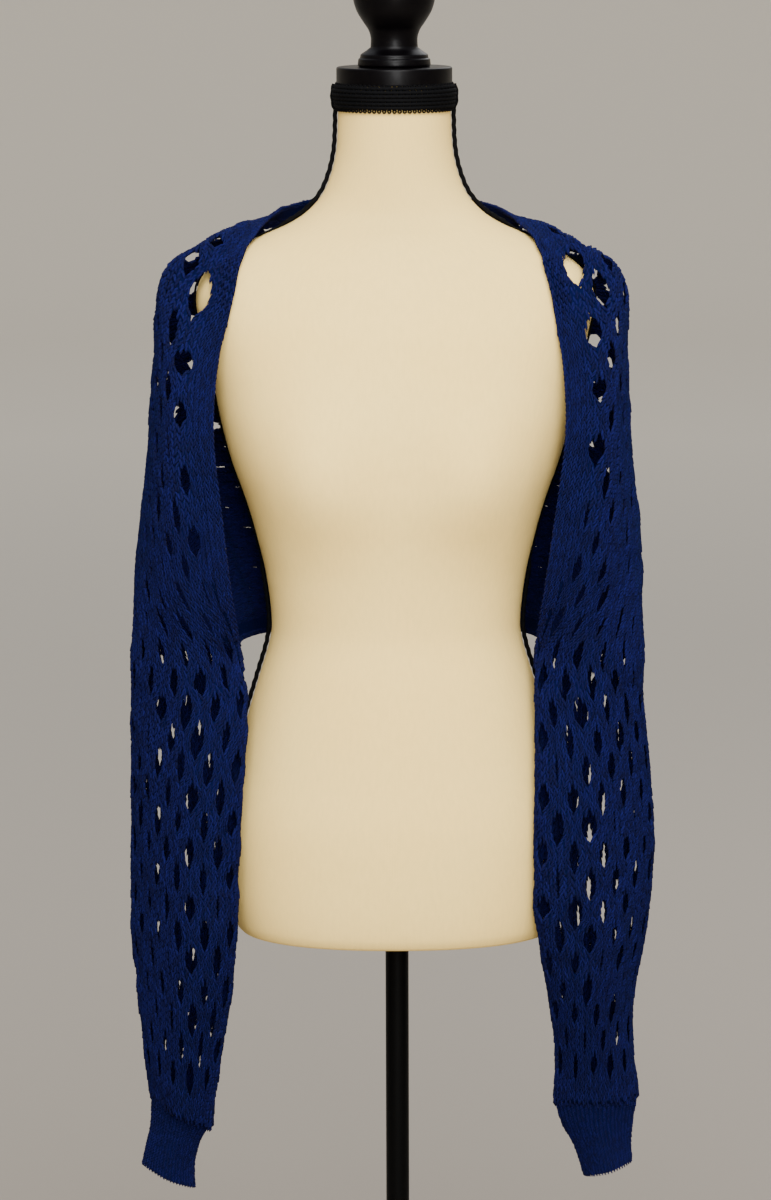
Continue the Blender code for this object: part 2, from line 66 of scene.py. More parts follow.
# The floor and the light
# A pale matt floor that sweeps up into a round wall far off on every side. One broad soft light
# hangs in front and overhead, one stands beside the camera, one behind, and the room does the rest.
FLOOR_RADIUS = 11.0
SWEEP_RADIUS = 3.0
SWEEP_STEPS = 12
WALL_TOP = 6.0
FLOOR_SIDES = 128
FLOOR_COLOUR = "968c80"
WALL_COLOUR = "eae1d0"
WALL_AWAY = 8.5
ROOM_COLOUR = "e9ecf2"
ROOM_STRENGTH = 0.8
GRIT = 2.0  # mm
MERGED_WITHIN = 0.000005


def linear(colour):
    """An sRGB hex colour as linear red, green, blue and alpha."""
    levels = [int(colour[i:i + 2], 16) / 255 for i in (0, 2, 4)]
    steps = [v / 12.92 if v <= 0.04045 else ((v + 0.055) / 1.055) ** 2.4 for v in levels]
    return (*steps, 1.0)


def add_node(tree, kind, inputs=None, **settings):
    """A node with its settings, and its inputs as values or as sockets to link from."""
    node = tree.nodes.new(kind)
    for name, value in settings.items():
        setattr(node, name, value)
    for key, value in (inputs or {}).items():
        if isinstance(value, bpy.types.NodeSocket):
            tree.links.new(value, node.inputs[key])
        else:
            node.inputs[key].default_value = value
    return node


def new_material(name, colour, roughness, **levels):
    """A material's tree and its shader, with the colour and the levels set on its own sockets."""
    material = bpy.data.materials.new(name)
    material.use_nodes = True
    shader = material.node_tree.nodes["Principled BSDF"]
    shader.inputs["Base Color"].default_value = linear(colour)
    shader.inputs["Roughness"].default_value = roughness
    for key, value in levels.items():
        shader.inputs[key.replace("_", " ").title()].default_value = value
    return material, material.node_tree, shader


def add_bump(tree, height, distance, strength):
    """A material's relief: a bump from a height's socket, with its depth in metres."""
    inputs = {"Height": height, "Distance": distance, "Strength": strength}
    bump = add_node(tree, "ShaderNodeBump", inputs)
    tree.links.new(bump.outputs["Normal"], tree.nodes["Principled BSDF"].inputs["Normal"])


def tube_faces(count, sides, closed=False):
    """The faces between rings of points, and from the last ring to the first if closed."""
    faces = []
    for i in range(count if closed else count - 1):
        near, far = i * sides, (i + 1) % count * sides
        for k in range(sides):
            after = (k + 1) % sides
            faces.append((near + k, near + after, far + after, far + k))
    return faces


def new_piece(name, points, faces, material, uv=None, sharp=40):
    """A smooth mesh piece with its points merged and its faces outwards."""
    mesh = bpy.data.meshes.new(name)
    mesh.from_pydata(np.asarray(points, float).tolist(), [], faces)
    if uv is not None:
        mesh.uv_layers.new(name="cloth").data.foreach_set("uv", np.ravel(uv).astype(np.float32))
    shape = bmesh.new()
    shape.from_mesh(mesh)
    bmesh.ops.remove_doubles(shape, verts=shape.verts, dist=MERGED_WITHIN)
    bmesh.ops.recalc_face_normals(shape, faces=shape.faces)
    shape.to_mesh(mesh)
    shape.free()
    mesh.shade_smooth()
    mesh.set_sharp_from_angle(angle=math.radians(sharp))
    mesh.materials.append(material)
    piece = bpy.data.objects.new(name, mesh)
    bpy.context.scene.collection.objects.link(piece)
    return piece


def add_light(name, place, aim_height, size, power):
    """A soft square light that points from its place at a height on the form's axis."""
    light = bpy.data.lights.new(name, "AREA")
    light.size = size
    light.energy = power
    lamp = bpy.data.objects.new(name, light)
    lamp.location = place
    aim = Vector((0.0, 0.0, aim_height)) - Vector(place)
    lamp.rotation_euler = aim.to_track_quat("-Z", "Y").to_euler()
    bpy.context.scene.collection.objects.link(lamp)


painted_floor, tree, shader = new_material("Matt painted floor", FLOOR_COLOUR, 0.9)
place = add_node(tree, "ShaderNodeTexCoord").outputs["Object"]
away = add_node(tree, "ShaderNodeVectorMath", {0: place}, operation="LENGTH").outputs["Value"]
far = add_node(tree, "ShaderNodeMapRange", {"Value": away, "From Min": 1.0, "From Max": WALL_AWAY})
painted = add_node(
    tree,
    "ShaderNodeMix",
    {"Factor": far.outputs["Result"], "A": linear(FLOOR_COLOUR), "B": linear(WALL_COLOUR)},
    data_type="RGBA",
)
tree.links.new(painted.outputs["Result"], shader.inputs["Base Color"])
grit = add_node(tree, "ShaderNodeTexNoise", {"Vector": place, "Scale": 1000 / GRIT})
add_bump(tree, grit.outputs["Fac"], 0.0004, 0.4)

sweep = [(FLOOR_RADIUS * i / 4, 0.0) for i in range(5)]
for i in range(1, SWEEP_STEPS + 1):
    angle = math.pi / 2 * i / SWEEP_STEPS
    out, up = math.sin(angle), 1 - math.cos(angle)
    sweep.append((FLOOR_RADIUS + SWEEP_RADIUS * out, SWEEP_RADIUS * up))
sweep.append((FLOOR_RADIUS + SWEEP_RADIUS, WALL_TOP))
turns = [2 * math.pi * k / FLOOR_SIDES for k in range(FLOOR_SIDES)]
points = [(r * math.cos(a), r * math.sin(a), z) for r, z in sweep for a in turns]
floor = new_piece("floor", points, tube_faces(len(sweep), FLOOR_SIDES), painted_floor)

room = bpy.data.worlds.new("Pale room")
room.use_nodes = True
room.node_tree.nodes["Background"].inputs["Color"].default_value = linear(ROOM_COLOUR)
room.node_tree.nodes["Background"].inputs["Strength"].default_value = ROOM_STRENGTH
bpy.context.scene.world = room
add_light("Overhead light", (0.2, -2.4, 3.4), 1.1, 2.2, 246)
add_light("Fill light", (0.3, -3.9, 1.8), 1.0, 1.0, 96)
add_light("Back light", (1.2, 3.0, 3.2), 1.0, 2.2, 26)

# The stand
# A weighted round base with a hub and the straight pole that carries the form: turned steel under
# black powder paint, which leaves a fine orange peel. The pole stands in the hub's socket.
BASE_RADIUS = 0.17
BASE_THICKNESS = 0.012
HUB_RADIUS = 0.026
HUB_TOP = 0.05
POLE_RADIUS = 0.0102
SOCKET_FLOOR = 0.006
POLE_TOP = 0.731
SEAM = 0.0003
ORANGE_PEEL = 1.6  # mm


def softened(profile, steps=5):
    """A profile of (radius, height, rounding) as points, each corner rounded by that much."""
    corners = [np.array(corner[:2], float) for corner in profile]
    line = [corners[0]]
    for before, corner, after, spot in zip(corners, corners[1:], corners[2:], profile[1:]):
        to_before = before - corner
        to_after = after - corner
        cut = min(spot[2], np.linalg.norm(to_before) / 2, np.linalg.norm(to_after) / 2)
        start = to_before / np.linalg.norm(to_before) * cut
        end = to_after / np.linalg.norm(to_after) * cut
        for i in range(steps + 1):
            t = i / steps
            line.append(corner + start * (1 - t) ** 2 + end * t ** 2)
            if cut == 0:
                break
    line.append(corners[-1])
    return line


def lofted(name, rings, material, sharp=40):
    """A closed piece through rings of points, with its UV in shares round and metres along."""
    rings = np.array(rings)
    count, sides = rings.shape[:2]
    steps = np.linalg.norm(np.diff(rings, axis=0), axis=2).mean(axis=1)
    lengths = np.concatenate([[0.0], np.cumsum(steps)])
    faces = tube_faces(count, sides)
    uv = []
    for low, high in zip(lengths, lengths[1:]):
        for k in range(sides):
            left, right = k / sides, (k + 1) / sides
            uv += [(left, low), (right, low), (right, high), (left, high)]
    points = list(rings.reshape(-1, 3))
    for ring in (0, count - 1):
        points.append(rings[ring].mean(axis=0))
        for k in range(sides):
            a = ring * sides + k
            b = ring * sides + (k + 1) % sides
            faces.append((b, a, len(points) - 1) if ring == 0 else (a, b, len(points) - 1))
            uv += [((k + 0.5) / sides, lengths[ring])] * 3
    return new_piece(name, points, faces, material, uv, sharp)


def turned(name, profile, material, sides=96, sharp=40):
    """A closed piece turned round the Z axis from points of (radius, height)."""
    angles = [2 * math.pi * k / sides for k in range(sides)]
    rings = [[(r * math.cos(a), r * math.sin(a), z) for a in angles] for r, z in profile]
    return lofted(name, rings, material, sharp)


powder_paint, tree, shader = new_material("Black powder-coated steel", "020202", 0.42)
shader.inputs["Specular IOR Level"].default_value = 0.06
place = add_node(tree, "ShaderNodeTexCoord").outputs["Object"]
peel = add_node(tree, "ShaderNodeTexNoise", {"Vector": place, "Scale": 1000 / ORANGE_PEEL})
add_bump(tree, peel.outputs["Fac"], 0.0002, 0.35)

socket = POLE_RADIUS + SEAM
base = turned(
    "base",
    softened(
        [
            (0.0, SOCKET_FLOOR, 0),
            (socket, SOCKET_FLOOR, 0),
            (socket, HUB_TOP, 0.0006),
            (HUB_RADIUS, HUB_TOP, 0.003),
            (HUB_RADIUS, BASE_THICKNESS, 0.004),
            (BASE_RADIUS, BASE_THICKNESS, 0.005),
            (BASE_RADIUS, 0.0, 0.001),
            (0.0, 0.0, 0),
        ]
    ),
    powder_paint,
)
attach(base, "root")
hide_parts("stand_base")

pole = turned(
    "pole",
    softened(
        [
            (0.0, POLE_TOP - SEAM, 0),
            (POLE_RADIUS, POLE_TOP - SEAM, 0.0005),
            (POLE_RADIUS, SOCKET_FLOOR + SEAM, 0.0005),
            (0.0, SOCKET_FLOOR + SEAM, 0),
        ]
    ),
    powder_paint,
    sides=48,
)
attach(pole, "root")
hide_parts("stand_pole")

# The form
# A limbless torso of stiff foam in a tight cover of cream cotton jersey, pulled smooth from the
# neck to the underside. The jersey's wales run down it and its dye is a little uneven.
FORM_SIDES = 144
FORM_STEPS = 5
FORM_START = 0.3
UNDERSIDE_ROUNDING = 0.007
UNDERSIDE_ANGLES = (0, 30, 60)
# A section is an ellipse at the neck and a little squarer below the shoulders
SQUARENESS = 0.3
NECK_FOOT = 1.36
SHOULDER_RISE = 0.03
BUST_APEX = (0.075, 1.14)
BUST_SPREAD = (0.046, 0.062)
BUST_DEPTH = 0.020
BUST_EDGE = 1.6
WALES_ROUND = 520
COURSE = 1.4  # mm, coarser than the real 0.8 mm so that it shows
# The form's level sections: height, half width, depth to the front and depth to the back
FORM_SECTIONS = (
    (0.731, 0.141, 0.100, 0.102),
    (0.770, 0.148, 0.106, 0.112),
    (0.830, 0.150, 0.108, 0.116),
    (0.880, 0.140, 0.103, 0.107),
    (0.924, 0.1287, 0.098, 0.096),
    (0.957, 0.1188, 0.093, 0.086),
    (0.988, 0.1098, 0.088, 0.079),
    (1.010, 0.1083, 0.087, 0.078),
    (1.048, 0.1130, 0.090, 0.084),
    (1.080, 0.1205, 0.095, 0.090),
    (1.100, 0.1258, 0.099, 0.094),
    (1.120, 0.1322, 0.102, 0.096),
    (1.140, 0.1395, 0.103, 0.099),
    (1.160, 0.1455, 0.103, 0.100),
    (1.185, 0.1515, 0.101, 0.101),
    (1.215, 0.1570, 0.095, 0.101),
    (1.255, 0.1660, 0.083, 0.098),
    (1.282, 0.1710, 0.071, 0.091),
    (1.300, 0.1680, 0.063, 0.084),
    (1.314, 0.1570, 0.057, 0.079),
    (1.328, 0.1370, 0.051, 0.074),
    (1.340, 0.1120, 0.047, 0.069),
    (1.350, 0.0900, 0.0455, 0.066),
    (1.362, 0.0728, 0.0445, 0.061),
    (1.380, 0.0590, 0.045, 0.0555),
    (1.410, 0.0500, 0.0465, 0.0505),
    (1.448, 0.0480, 0.0480, 0.0480),
    (1.4685, 0.0480, 0.0480, 0.0480),
)


def spline(rows, at):
    """The Catmull-Rom curve through rows at the parameter at, where row 0 is at 0."""
    last = len(rows) - 1
    at = min(max(at, 0.0), last)
    i = min(int(at), last - 1)
    f = at - i
    here = rows[i]
    there = rows[i + 1]
    before = rows[i - 1] if i > 0 else 2 * here - there
    after = rows[i + 2] if i + 2 <= last else 2 * there - here
    bend = 2 * before - 5 * here + 4 * there - after
    twist = 3 * here - before - 3 * there + after
    return here + 0.5 * f * (there - before + f * (bend + f * twist))


def form_ring(section, inset=0.0):
    """One level section of the form as points, from the right side round past the back."""
    height, half_width, front, back = section
    below = min(1.0, max(0.0, (NECK_FOOT - height) / SHOULDER_RISE))
    squareness = 2.0 + SQUARENESS * below
    ring = []
    for k in range(FORM_SIDES):
        angle = 2 * math.pi * k / FORM_SIDES
        c = math.cos(angle)
        s = math.sin(angle)
        depth = (back if s > 0 else front) - inset
        x = (half_width - inset) * math.copysign(abs(c) ** (2 / squareness), c)
        y = depth * math.copysign(abs(s) ** (2 / squareness), s)
        if s < 0:
            away = ((abs(x) - BUST_APEX[0]) / BUST_SPREAD[0]) ** 2
            away += ((height - BUST_APEX[1]) / BUST_SPREAD[1]) ** 2
            y -= BUST_DEPTH * math.exp(-away) * min(1.0, -s * BUST_EDGE)
        ring.append((x, y, height))
    return ring


jersey, tree, shader = new_material(
    "Cream cotton jersey", "f6d27d", 0.9, sheen_weight=0.06, sheen_roughness=0.5
)
shader.inputs["Sheen Tint"].default_value = linear("fff0cc")
shader.inputs["Specular IOR Level"].default_value = 0.15
cloth = add_node(tree, "ShaderNodeUVMap", uv_map="cloth").outputs["UV"]
place = add_node(tree, "ShaderNodeTexCoord").outputs["Object"]
dye = add_node(tree, "ShaderNodeTexNoise", {"Vector": place, "Scale": 9.0, "Detail": 3.0})
slub_scale = add_node(
    tree, "ShaderNodeMapping", {"Vector": cloth, "Scale": (WALES_ROUND / 2, 90.0, 1.0)}
)
slubs = add_node(
    tree, "ShaderNodeTexNoise", {"Vector": slub_scale.outputs["Vector"], "Scale": 1.0}
)
shades = add_node(
    tree,
    "ShaderNodeMix",
    {"Factor": dye.outputs["Fac"], "A": linear("f4ce76"), "B": linear("f8d884")},
    data_type="RGBA",
)
tone = add_node(
    tree, "ShaderNodeMapRange", {"Value": slubs.outputs["Fac"], "To Min": 0.93, "To Max": 1.05}
)
cover = add_node(
    tree,
    "ShaderNodeMix",
    {"Factor": 1.0, "A": shades.outputs["Result"], "B": tone.outputs["Result"]},
    data_type="RGBA",
    blend_type="MULTIPLY",
)
tree.links.new(cover.outputs["Result"], shader.inputs["Base Color"])
# A wave texture's bands are a fifth of pi apart
BANDS = math.pi / 5
wale_scale = add_node(
    tree,
    "ShaderNodeMapping",
    {"Vector": cloth, "Scale": (WALES_ROUND * BANDS, 1000 / COURSE * BANDS, 1.0)},
)
wales = add_node(
    tree,
    "ShaderNodeTexWave",
    {"Vector": wale_scale.outputs["Vector"], "Scale": 1.0, "Distortion": 0.6},
    bands_direction="X",
)
courses = add_node(
    tree,
    "ShaderNodeTexWave",
    {"Vector": wale_scale.outputs["Vector"], "Scale": 1.0, "Distortion": 1.2},
    bands_direction="Y",
)
knitting = add_node(
    tree,
    "ShaderNodeMath",
    {0: wales.outputs["Fac"], 1: courses.outputs["Fac"]},
    operation="ADD",
)
height = add_node(
    tree, "ShaderNodeMath", {0: slubs.outputs["Fac"], 1: knitting.outputs["Value"]}, operation="ADD"
)
add_bump(tree, height.outputs["Value"], 0.00015, 0.5)

sections = [np.array(row) for row in FORM_SECTIONS]
rings = []
for angle in [math.radians(a) for a in UNDERSIDE_ANGLES]:
    inset = UNDERSIDE_ROUNDING * (1 - math.sin(angle))
    lift = UNDERSIDE_ROUNDING * (1 - math.cos(angle))
    section = sections[0].copy()
    section[0] += lift
    rings.append(form_ring(section, inset))
count = FORM_STEPS * (len(sections) - 1)
for i in range(count + 1):
    row = FORM_START + (len(sections) - 1 - FORM_START) * i / count
    rings.append(form_ring(spline(sections, row)))
form = lofted("form", rings, jersey)
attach(form, "root")
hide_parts("form_torso")

# The piping
# Black cord of three twisted plies, sewn into the form's side seams from the underside to the
# cap, over the neck trim. It is pressed flatter where the shrug lies on it.
PIPING_RADIUS = 0.0022
PIPING_PRESSED = 0.5
PIPING_COVERED = (1.06, 1.345)
PIPING_EASE = (0.01, 0.004)
PIPING_START = 0.1
PIPING_STEPS = 900
PIPING_AHEAD = 0.05
PIPING_TOP = 1.4475
CLIMB_STEPS = 40
# Where it climbs the trim's side to the cap: distance from the middle and height
PIPING_END = (
    (0.0516, 1.4500),
    (0.0524, 1.4530),
    (0.0528, 1.4590),
    (0.0523, 1.4645),
    (0.0510, 1.4684),
)
PLY_LAY = 0.0085
PIPING_SIDES = 12
PLY_TWIST_SCALE = 0.7  # mm, the fine yarns in each ply

black_cord, tree, shader = new_material("Black mercerised cotton cord", "020203", 0.8)
shader.inputs["Specular IOR Level"].default_value = 0.08
place = add_node(tree, "ShaderNodeTexCoord").outputs["Object"]
fibre = add_node(
    tree, "ShaderNodeTexNoise", {"Vector": place, "Scale": 1000 / PLY_TWIST_SCALE, "Detail": 2.0}
)
add_bump(tree, fibre.outputs["Fac"], 0.0003, 0.5)


def twisted(route, radii, sideways, lay, sides, lobes=3, depth=0.16, closed=False):
    """Rings of a twisted cord along a route, each in the plane of sideways and its own normal."""
    route = np.array(route)
    steps = np.linalg.norm(np.diff(route, axis=0), axis=1)
    lengths = np.concatenate([[0.0], np.cumsum(steps)])
    if closed:
        run = np.roll(route, -1, axis=0) - np.roll(route, 1, axis=0)
    else:
        run = np.gradient(route, axis=0)
    run /= np.linalg.norm(run, axis=1)[:, None]
    across = np.broadcast_to(np.array(sideways, float), route.shape)
    across = across - run * (across * run).sum(axis=1)[:, None]
    across /= np.linalg.norm(across, axis=1)[:, None]
    up = np.cross(run, across)
    angles = 2 * math.pi * np.arange(sides) / sides
    turn = 2 * math.pi * lengths / lay
    lobe = 1 - depth + depth * np.cos(lobes * angles[None, :] - turn[:, None])
    reach = np.array(radii)[:, None] * lobe
    ring = across[:, None, :] * np.cos(angles)[None, :, None]
    ring = ring + up[:, None, :] * np.sin(angles)[None, :, None]
    return route[:, None, :] + ring * reach[:, :, None]


seam = [np.array((row[1], row[0])) for row in FORM_SECTIONS]
low, high = PIPING_COVERED
pressed = (low - PIPING_EASE[0], low, high, high + PIPING_EASE[1])
for side, sign in (("left", -1), ("right", 1)):
    route, radii = [], []
    for i in range(PIPING_STEPS):
        at = PIPING_START + (len(seam) - 1 - PIPING_START) * i / (PIPING_STEPS - 1)
        here = spline(seam, at)
        ahead = spline(seam, at + PIPING_AHEAD) - spline(seam, at - PIPING_AHEAD)
        out = np.array((ahead[1], -ahead[0])) / np.linalg.norm(ahead)
        if here[1] > PIPING_TOP:
            break
        ease = np.interp(here[1], pressed, (1.0, PIPING_PRESSED, PIPING_PRESSED, 1.0))
        radius = PIPING_RADIUS * ease
        spot = here + out * (radius + SEAM)
        route.append((sign * spot[0], 0.0, spot[1]))
        radii.append(radius)
    climb = [np.array((abs(route[-1][0]), route[-1][2]))]
    climb += [np.array(spot) for spot in PIPING_END]
    for i in range(1, CLIMB_STEPS + 1):
        spot = spline(climb, (len(climb) - 1) * i / CLIMB_STEPS)
        route.append((sign * spot[0], 0.0, spot[1]))
        radii.append(PIPING_RADIUS)
    rings = twisted(route, radii, (0, 1, 0), PLY_LAY, PIPING_SIDES)
    cord = lofted("piping_" + side + "_cord", rings, black_cord, sharp=180)
    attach(cord, "root")
    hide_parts("piping_" + side)

# The neck trim
# A black braid glued round the top of the neck: cords side by side between two edges of small
# loops, which stand against the cream jersey.
TRIM_TOP = 1.4685
TRIM_HEIGHT = 0.0195
TRIM_CORDS = (0.0500, 0.0514, 0.0516, 0.0511, 0.0507, 0.0502)
TRIM_CORD_RADIUS = 0.0017
TRIM_CORD_SWELL = 1.25
TRIM_STEPS = 288
TRIM_TWISTS = 60
LOOPS = 72
LOOP_RADIUS = 0.0013
LOOP_STRAND = 0.0008
LOOP_STEPS = 10
LOOP_INSET = 0.0002
# Each edge's loops: which way they point, and the height of their middles
LOOP_EDGES = ((1, TRIM_TOP - 0.0004), (-1, TRIM_TOP - TRIM_HEIGHT - 0.0012))


def joined(name, pieces):
    """Several pieces of one material as one piece."""
    shape = bmesh.new()
    for piece in pieces:
        shape.from_mesh(piece.data)
    mesh = bpy.data.meshes.new(name)
    shape.to_mesh(mesh)
    shape.free()
    mesh.shade_smooth()
    mesh.materials.append(pieces[0].data.materials[0])
    for piece in pieces:
        bpy.data.objects.remove(piece, do_unlink=True)
    whole = bpy.data.objects.new(name, mesh)
    bpy.context.scene.collection.objects.link(whole)
    return whole


def looped(name, rings, material):
    """A closed loop of tube through rings of points, the last joined to the first."""
    count, sides = rings.shape[:2]
    faces = tube_faces(count, sides, closed=True)
    return new_piece(name, rings.reshape(-1, 3), faces, material, sharp=180)


strands = []
spacing = (TRIM_HEIGHT - 2 * TRIM_CORD_RADIUS) / (len(TRIM_CORDS) - 1)
angles = [2 * math.pi * k / TRIM_STEPS for k in range(TRIM_STEPS)]
for i, radius in enumerate(TRIM_CORDS):
    height = TRIM_TOP - TRIM_CORD_RADIUS - spacing * i
    route = [(radius * math.cos(a), radius * math.sin(a), height) for a in angles]
    lay = 2 * math.pi * radius / TRIM_TWISTS * (-1 if i % 2 else 1)
    radii = [TRIM_CORD_RADIUS * TRIM_CORD_SWELL] * TRIM_STEPS
    rings = twisted(route, radii, (0, 0, 1), lay, sides=8, lobes=2, depth=0.14, closed=True)
    strands.append(looped("strand", rings, black_cord))
turns = [2 * math.pi * i / LOOP_STEPS for i in range(LOOP_STEPS)]
for edge, height in LOOP_EDGES:
    for k in range(LOOPS):
        angle = 2 * math.pi * k / LOOPS
        out = np.array((math.cos(angle), math.sin(angle), 0.0))
        along = np.array((-math.sin(angle), math.cos(angle), 0.0))
        middle = out * (TRIM_CORDS[0] - LOOP_INSET) + np.array((0, 0, height))
        route = [
            middle + LOOP_RADIUS * (along * math.cos(t) + np.array((0, 0, edge)) * math.sin(t))
            for t in turns
        ]
        radii = [LOOP_STRAND] * LOOP_STEPS
        rings = twisted(route, radii, out, lay=1.0, sides=5, lobes=1, depth=0.0, closed=True)
        strands.append(looped("loop", rings, black_cord))
trim = joined("neck_braid", strands)
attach(trim, "root")
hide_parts("neck_trim")

# The cap and the finial
# Turned beech under black lacquer: a thick disc on the neck's flat top, and on it a finial with a
# stepped foot, a waist and a bulb. The lathe's fine rings show under the lacquer.
CAP_RADIUS = 0.0495
CAP_TOP = 1.483
LATHE_RING = 1.1  # mm
BULB_STEPS = 5
FINIAL_BULB = (
    (0.0, 1.5868),
    (0.0135, 1.5853),
    (0.0250, 1.5795),
    (0.0336, 1.5670),
    (0.0361, 1.5530),
    (0.0353, 1.5420),
    (0.0321, 1.5304),
    (0.0261, 1.5204),
    (0.0221, 1.5144),
    (0.0200, 1.5075),
    (0.0202, 1.4995),
)
FINIAL_FOOT = (
    (0.0202, 1.4995, 0),
    (0.0245, 1.4962, 0.0015),
    (0.0288, 1.4935, 0.0010),
    (0.0292, 1.4905, 0.0010),
    (0.0306, 1.4897, 0.0006),
    (0.0312, 1.4850, 0.0012),
    (0.0304, CAP_TOP + SEAM, 0.0006),
    (0.0, CAP_TOP + SEAM, 0),
)

lacquer, tree, shader = new_material(
    "Black lacquered beech", "020102", 0.35, coat_weight=0.03, coat_roughness=0.2
)
shader.inputs["Specular IOR Level"].default_value = 0.08
place = add_node(tree, "ShaderNodeTexCoord").outputs["Object"]
lathe = add_node(
    tree,
    "ShaderNodeTexWave",
    {"Vector": place, "Scale": 1000 / LATHE_RING * BANDS, "Distortion": 0.4},
    bands_direction="Z",
)
brushed = add_node(tree, "ShaderNodeTexNoise", {"Vector": place, "Scale": 60.0, "Detail": 4.0})
wear = add_node(
    tree, "ShaderNodeMapRange", {"Value": brushed.outputs["Fac"], "To Min": 0.24, "To Max": 0.46}
)
tree.links.new(wear.outputs["Result"], shader.inputs["Roughness"])
add_bump(tree, lathe.outputs["Fac"], 0.0001, 0.3)

seat = TRIM_TOP + SEAM
cap = turned(
    "cap",
    softened(
        [
            (0.0, CAP_TOP, 0),
            (CAP_RADIUS, CAP_TOP, 0.0018),
            (CAP_RADIUS, seat, 0.0012),
            (0.0, seat, 0),
        ]
    ),
    lacquer,
)
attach(cap, "root")
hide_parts("neck_cap")

bulb = [np.array(spot) for spot in FINIAL_BULB]
profile = [spline(bulb, i / BULB_STEPS) for i in range(BULB_STEPS * (len(bulb) - 1))]
finial = turned("finial", profile + softened(FINIAL_FOOT), lacquer, sides=72, sharp=50)
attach(finial, "root")
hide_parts("neck_finial")

# The cloth's shape
# The shrug is one long tube of knitting from cuff to cuff, open between the armholes to go round
# the back. These are the sections that the solids are made from, above and below the underarm.
MM = 0.001
BAND_WIDTH = 18 * MM
BAND_TIP = 1.0 * MM
BAND_TAPER_START = -75 * MM
BAND_TAPER_END = 25 * MM
TIP_GAP = 3.2 * MM
BACK_ROWS = 7
SLEEVE_ROWS = 34
CLEAR_OF_FORM = 5.6 * MM
COLUMNS = 14
ROW_LENGTH = 23 * MM
SECTION_STEPS = 64
GRID_ROWS = 170
GRID_COLUMNS = 96
ROW_STEPS = 12
# The slack cloth's soft upright folds and small bumps: how deep, and how close each way
FOLD_DEPTH = 3.2 * MM
FOLD_CLOSE = (26, 26, 9)
BUMP_DEPTH = 2.2 * MM
BUMP_CLOSE = (55, 55, 45)
BUMP_SHIFT = (0.0, 0.0, 7.0)
# One half above the underarm, in mm and outwards from the middle of the back. A row is one section
# across the cloth: its free edge at the neck and front, the front of the sleeve, its outer side,
# its back, and the hem's free edge.
YOKE = (
    ((0, 74, 1362), (0, 101, 1275), (0, 109, 1180), (0, 102, 1080), (0, 94, 983)),
    ((45, 69, 1364), (47, 98, 1277), (48, 107, 1180), (47, 100, 1080), (45, 92, 982)),
    ((80, 46, 1363), (90, 80, 1296), (95, 97, 1192), (91, 95, 1080), (82, 87, 981)),
    ((104, 14, 1353), (124, 46, 1337), (134, 80, 1262), (128, 90, 1120), (104, 79, 980)),
    ((117, -18, 1336), (155, 2, 1336), (167, 46, 1282), (158, 80, 1130), (116, 70, 980)),
    ((131, -44, 1294), (176, -20, 1315), (198, 14, 1290), (182, 66, 1170), (122, 60, 980)),
    ((145, -64, 1242), (183, -58, 1255), (201, -4, 1245), (193, 50, 1130), (127, 48, 980)),
    ((149, -76, 1178), (185, -76, 1180), (205, -14, 1170), (203, 38, 1085), (130, 36, 980)),
    ((141, -80, 1105), (184, -84, 1105), (210, -24, 1105), (208, 22, 1045), (131, 18, 980)),
    ((134, -72, 1045), (181, -82, 1042), (216, -30, 1040), (205, 8, 1015), (132, 0, 980)),
)
# How far each row of the yoke sways to the left, in mm
YOKE_SWAY = (2, 2, 2, 3, 3, 3, 4, 5, 6, 7)
UNDERARM_ROW = len(YOKE)
# The hanging sleeves from the underarm to the cuff, in mm: the inner side's x, y and height, the
# outer side's x, y and height, and the y of the front and of the back halfway between them.
SLEEVES = {
    "left": (
        (-135, -42, 983, -227, -38, 983, -80, -4),
        (-130, -58, 944, -228, -36, 944, -84, -8),
        (-134, -80, 874, -229, -34, 874, -90, -22),
        (-139, -78, 803, -230, -32, 803, -90, -20),
        (-140, -74, 740, -229, -32, 740, -88, -20),
        (-148, -62, 672, -225, -36, 680, -80, -24),
        (-159, -52, 615, -221, -40, 630, -70, -26),
        (-166, -46, 562, -216, -40, 588, -62, -26),
    ),
    "right": (
        (121, -42, 983, 213, -38, 983, -80, -4),
        (121, -62, 946, 212, -36, 946, -86, -8),
        (120, -84, 876, 219, -34, 876, -94, -20),
        (119, -88, 808, 223, -30, 808, -98, -15),
        (123, -84, 743, 218, -30, 743, -94, -16),
        (133, -66, 680, 207, -34, 680, -82, -22),
        (139, -54, 634, 205, -38, 634, -72, -24),
        (138, -46, 584, 210, -40, 586, -62, -24),
    ),
}

cad_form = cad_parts["form_torso"].data
form_surface = BVHTree.FromPolygons(
    [v.co for v in cad_form.vertices], [tuple(f.vertices) for f in cad_form.polygons]
)


def off_form(point):
    """The point, moved straight out of the form where it is nearer than the cloth may come."""
    spot, normal, _, far = form_surface.find_nearest(Vector(point))
    outside = (Vector(point) - spot).dot(normal)
    near = far if outside > 0 else -far
    if near >= CLEAR_OF_FORM:
        return np.array(point)
    return np.array(spot + normal * CLEAR_OF_FORM)


def sleeve_row(row):
    """The five control points of a closed section: its seam, front, outer side, back and seam."""
    seam = row[:3]
    outer = row[3:6]
    front, back = row[6:]
    mid_x = (seam[0] + outer[0]) / 2
    mid_z = (seam[2] + outer[2]) / 2
    return (seam, (mid_x, front, mid_z), outer, (mid_x, back, mid_z), seam)


def evenly(line, count):
    """A line's points set out again at even distances, and its length."""
    steps = np.linalg.norm(np.diff(line, axis=0), axis=1)
    lengths = np.concatenate([[0.0], np.cumsum(steps)])
    at = np.linspace(0.0, lengths[-1], count + 1)
    return np.stack([np.interp(at, lengths, line[:, axis]) for axis in range(3)], 1), lengths[-1]


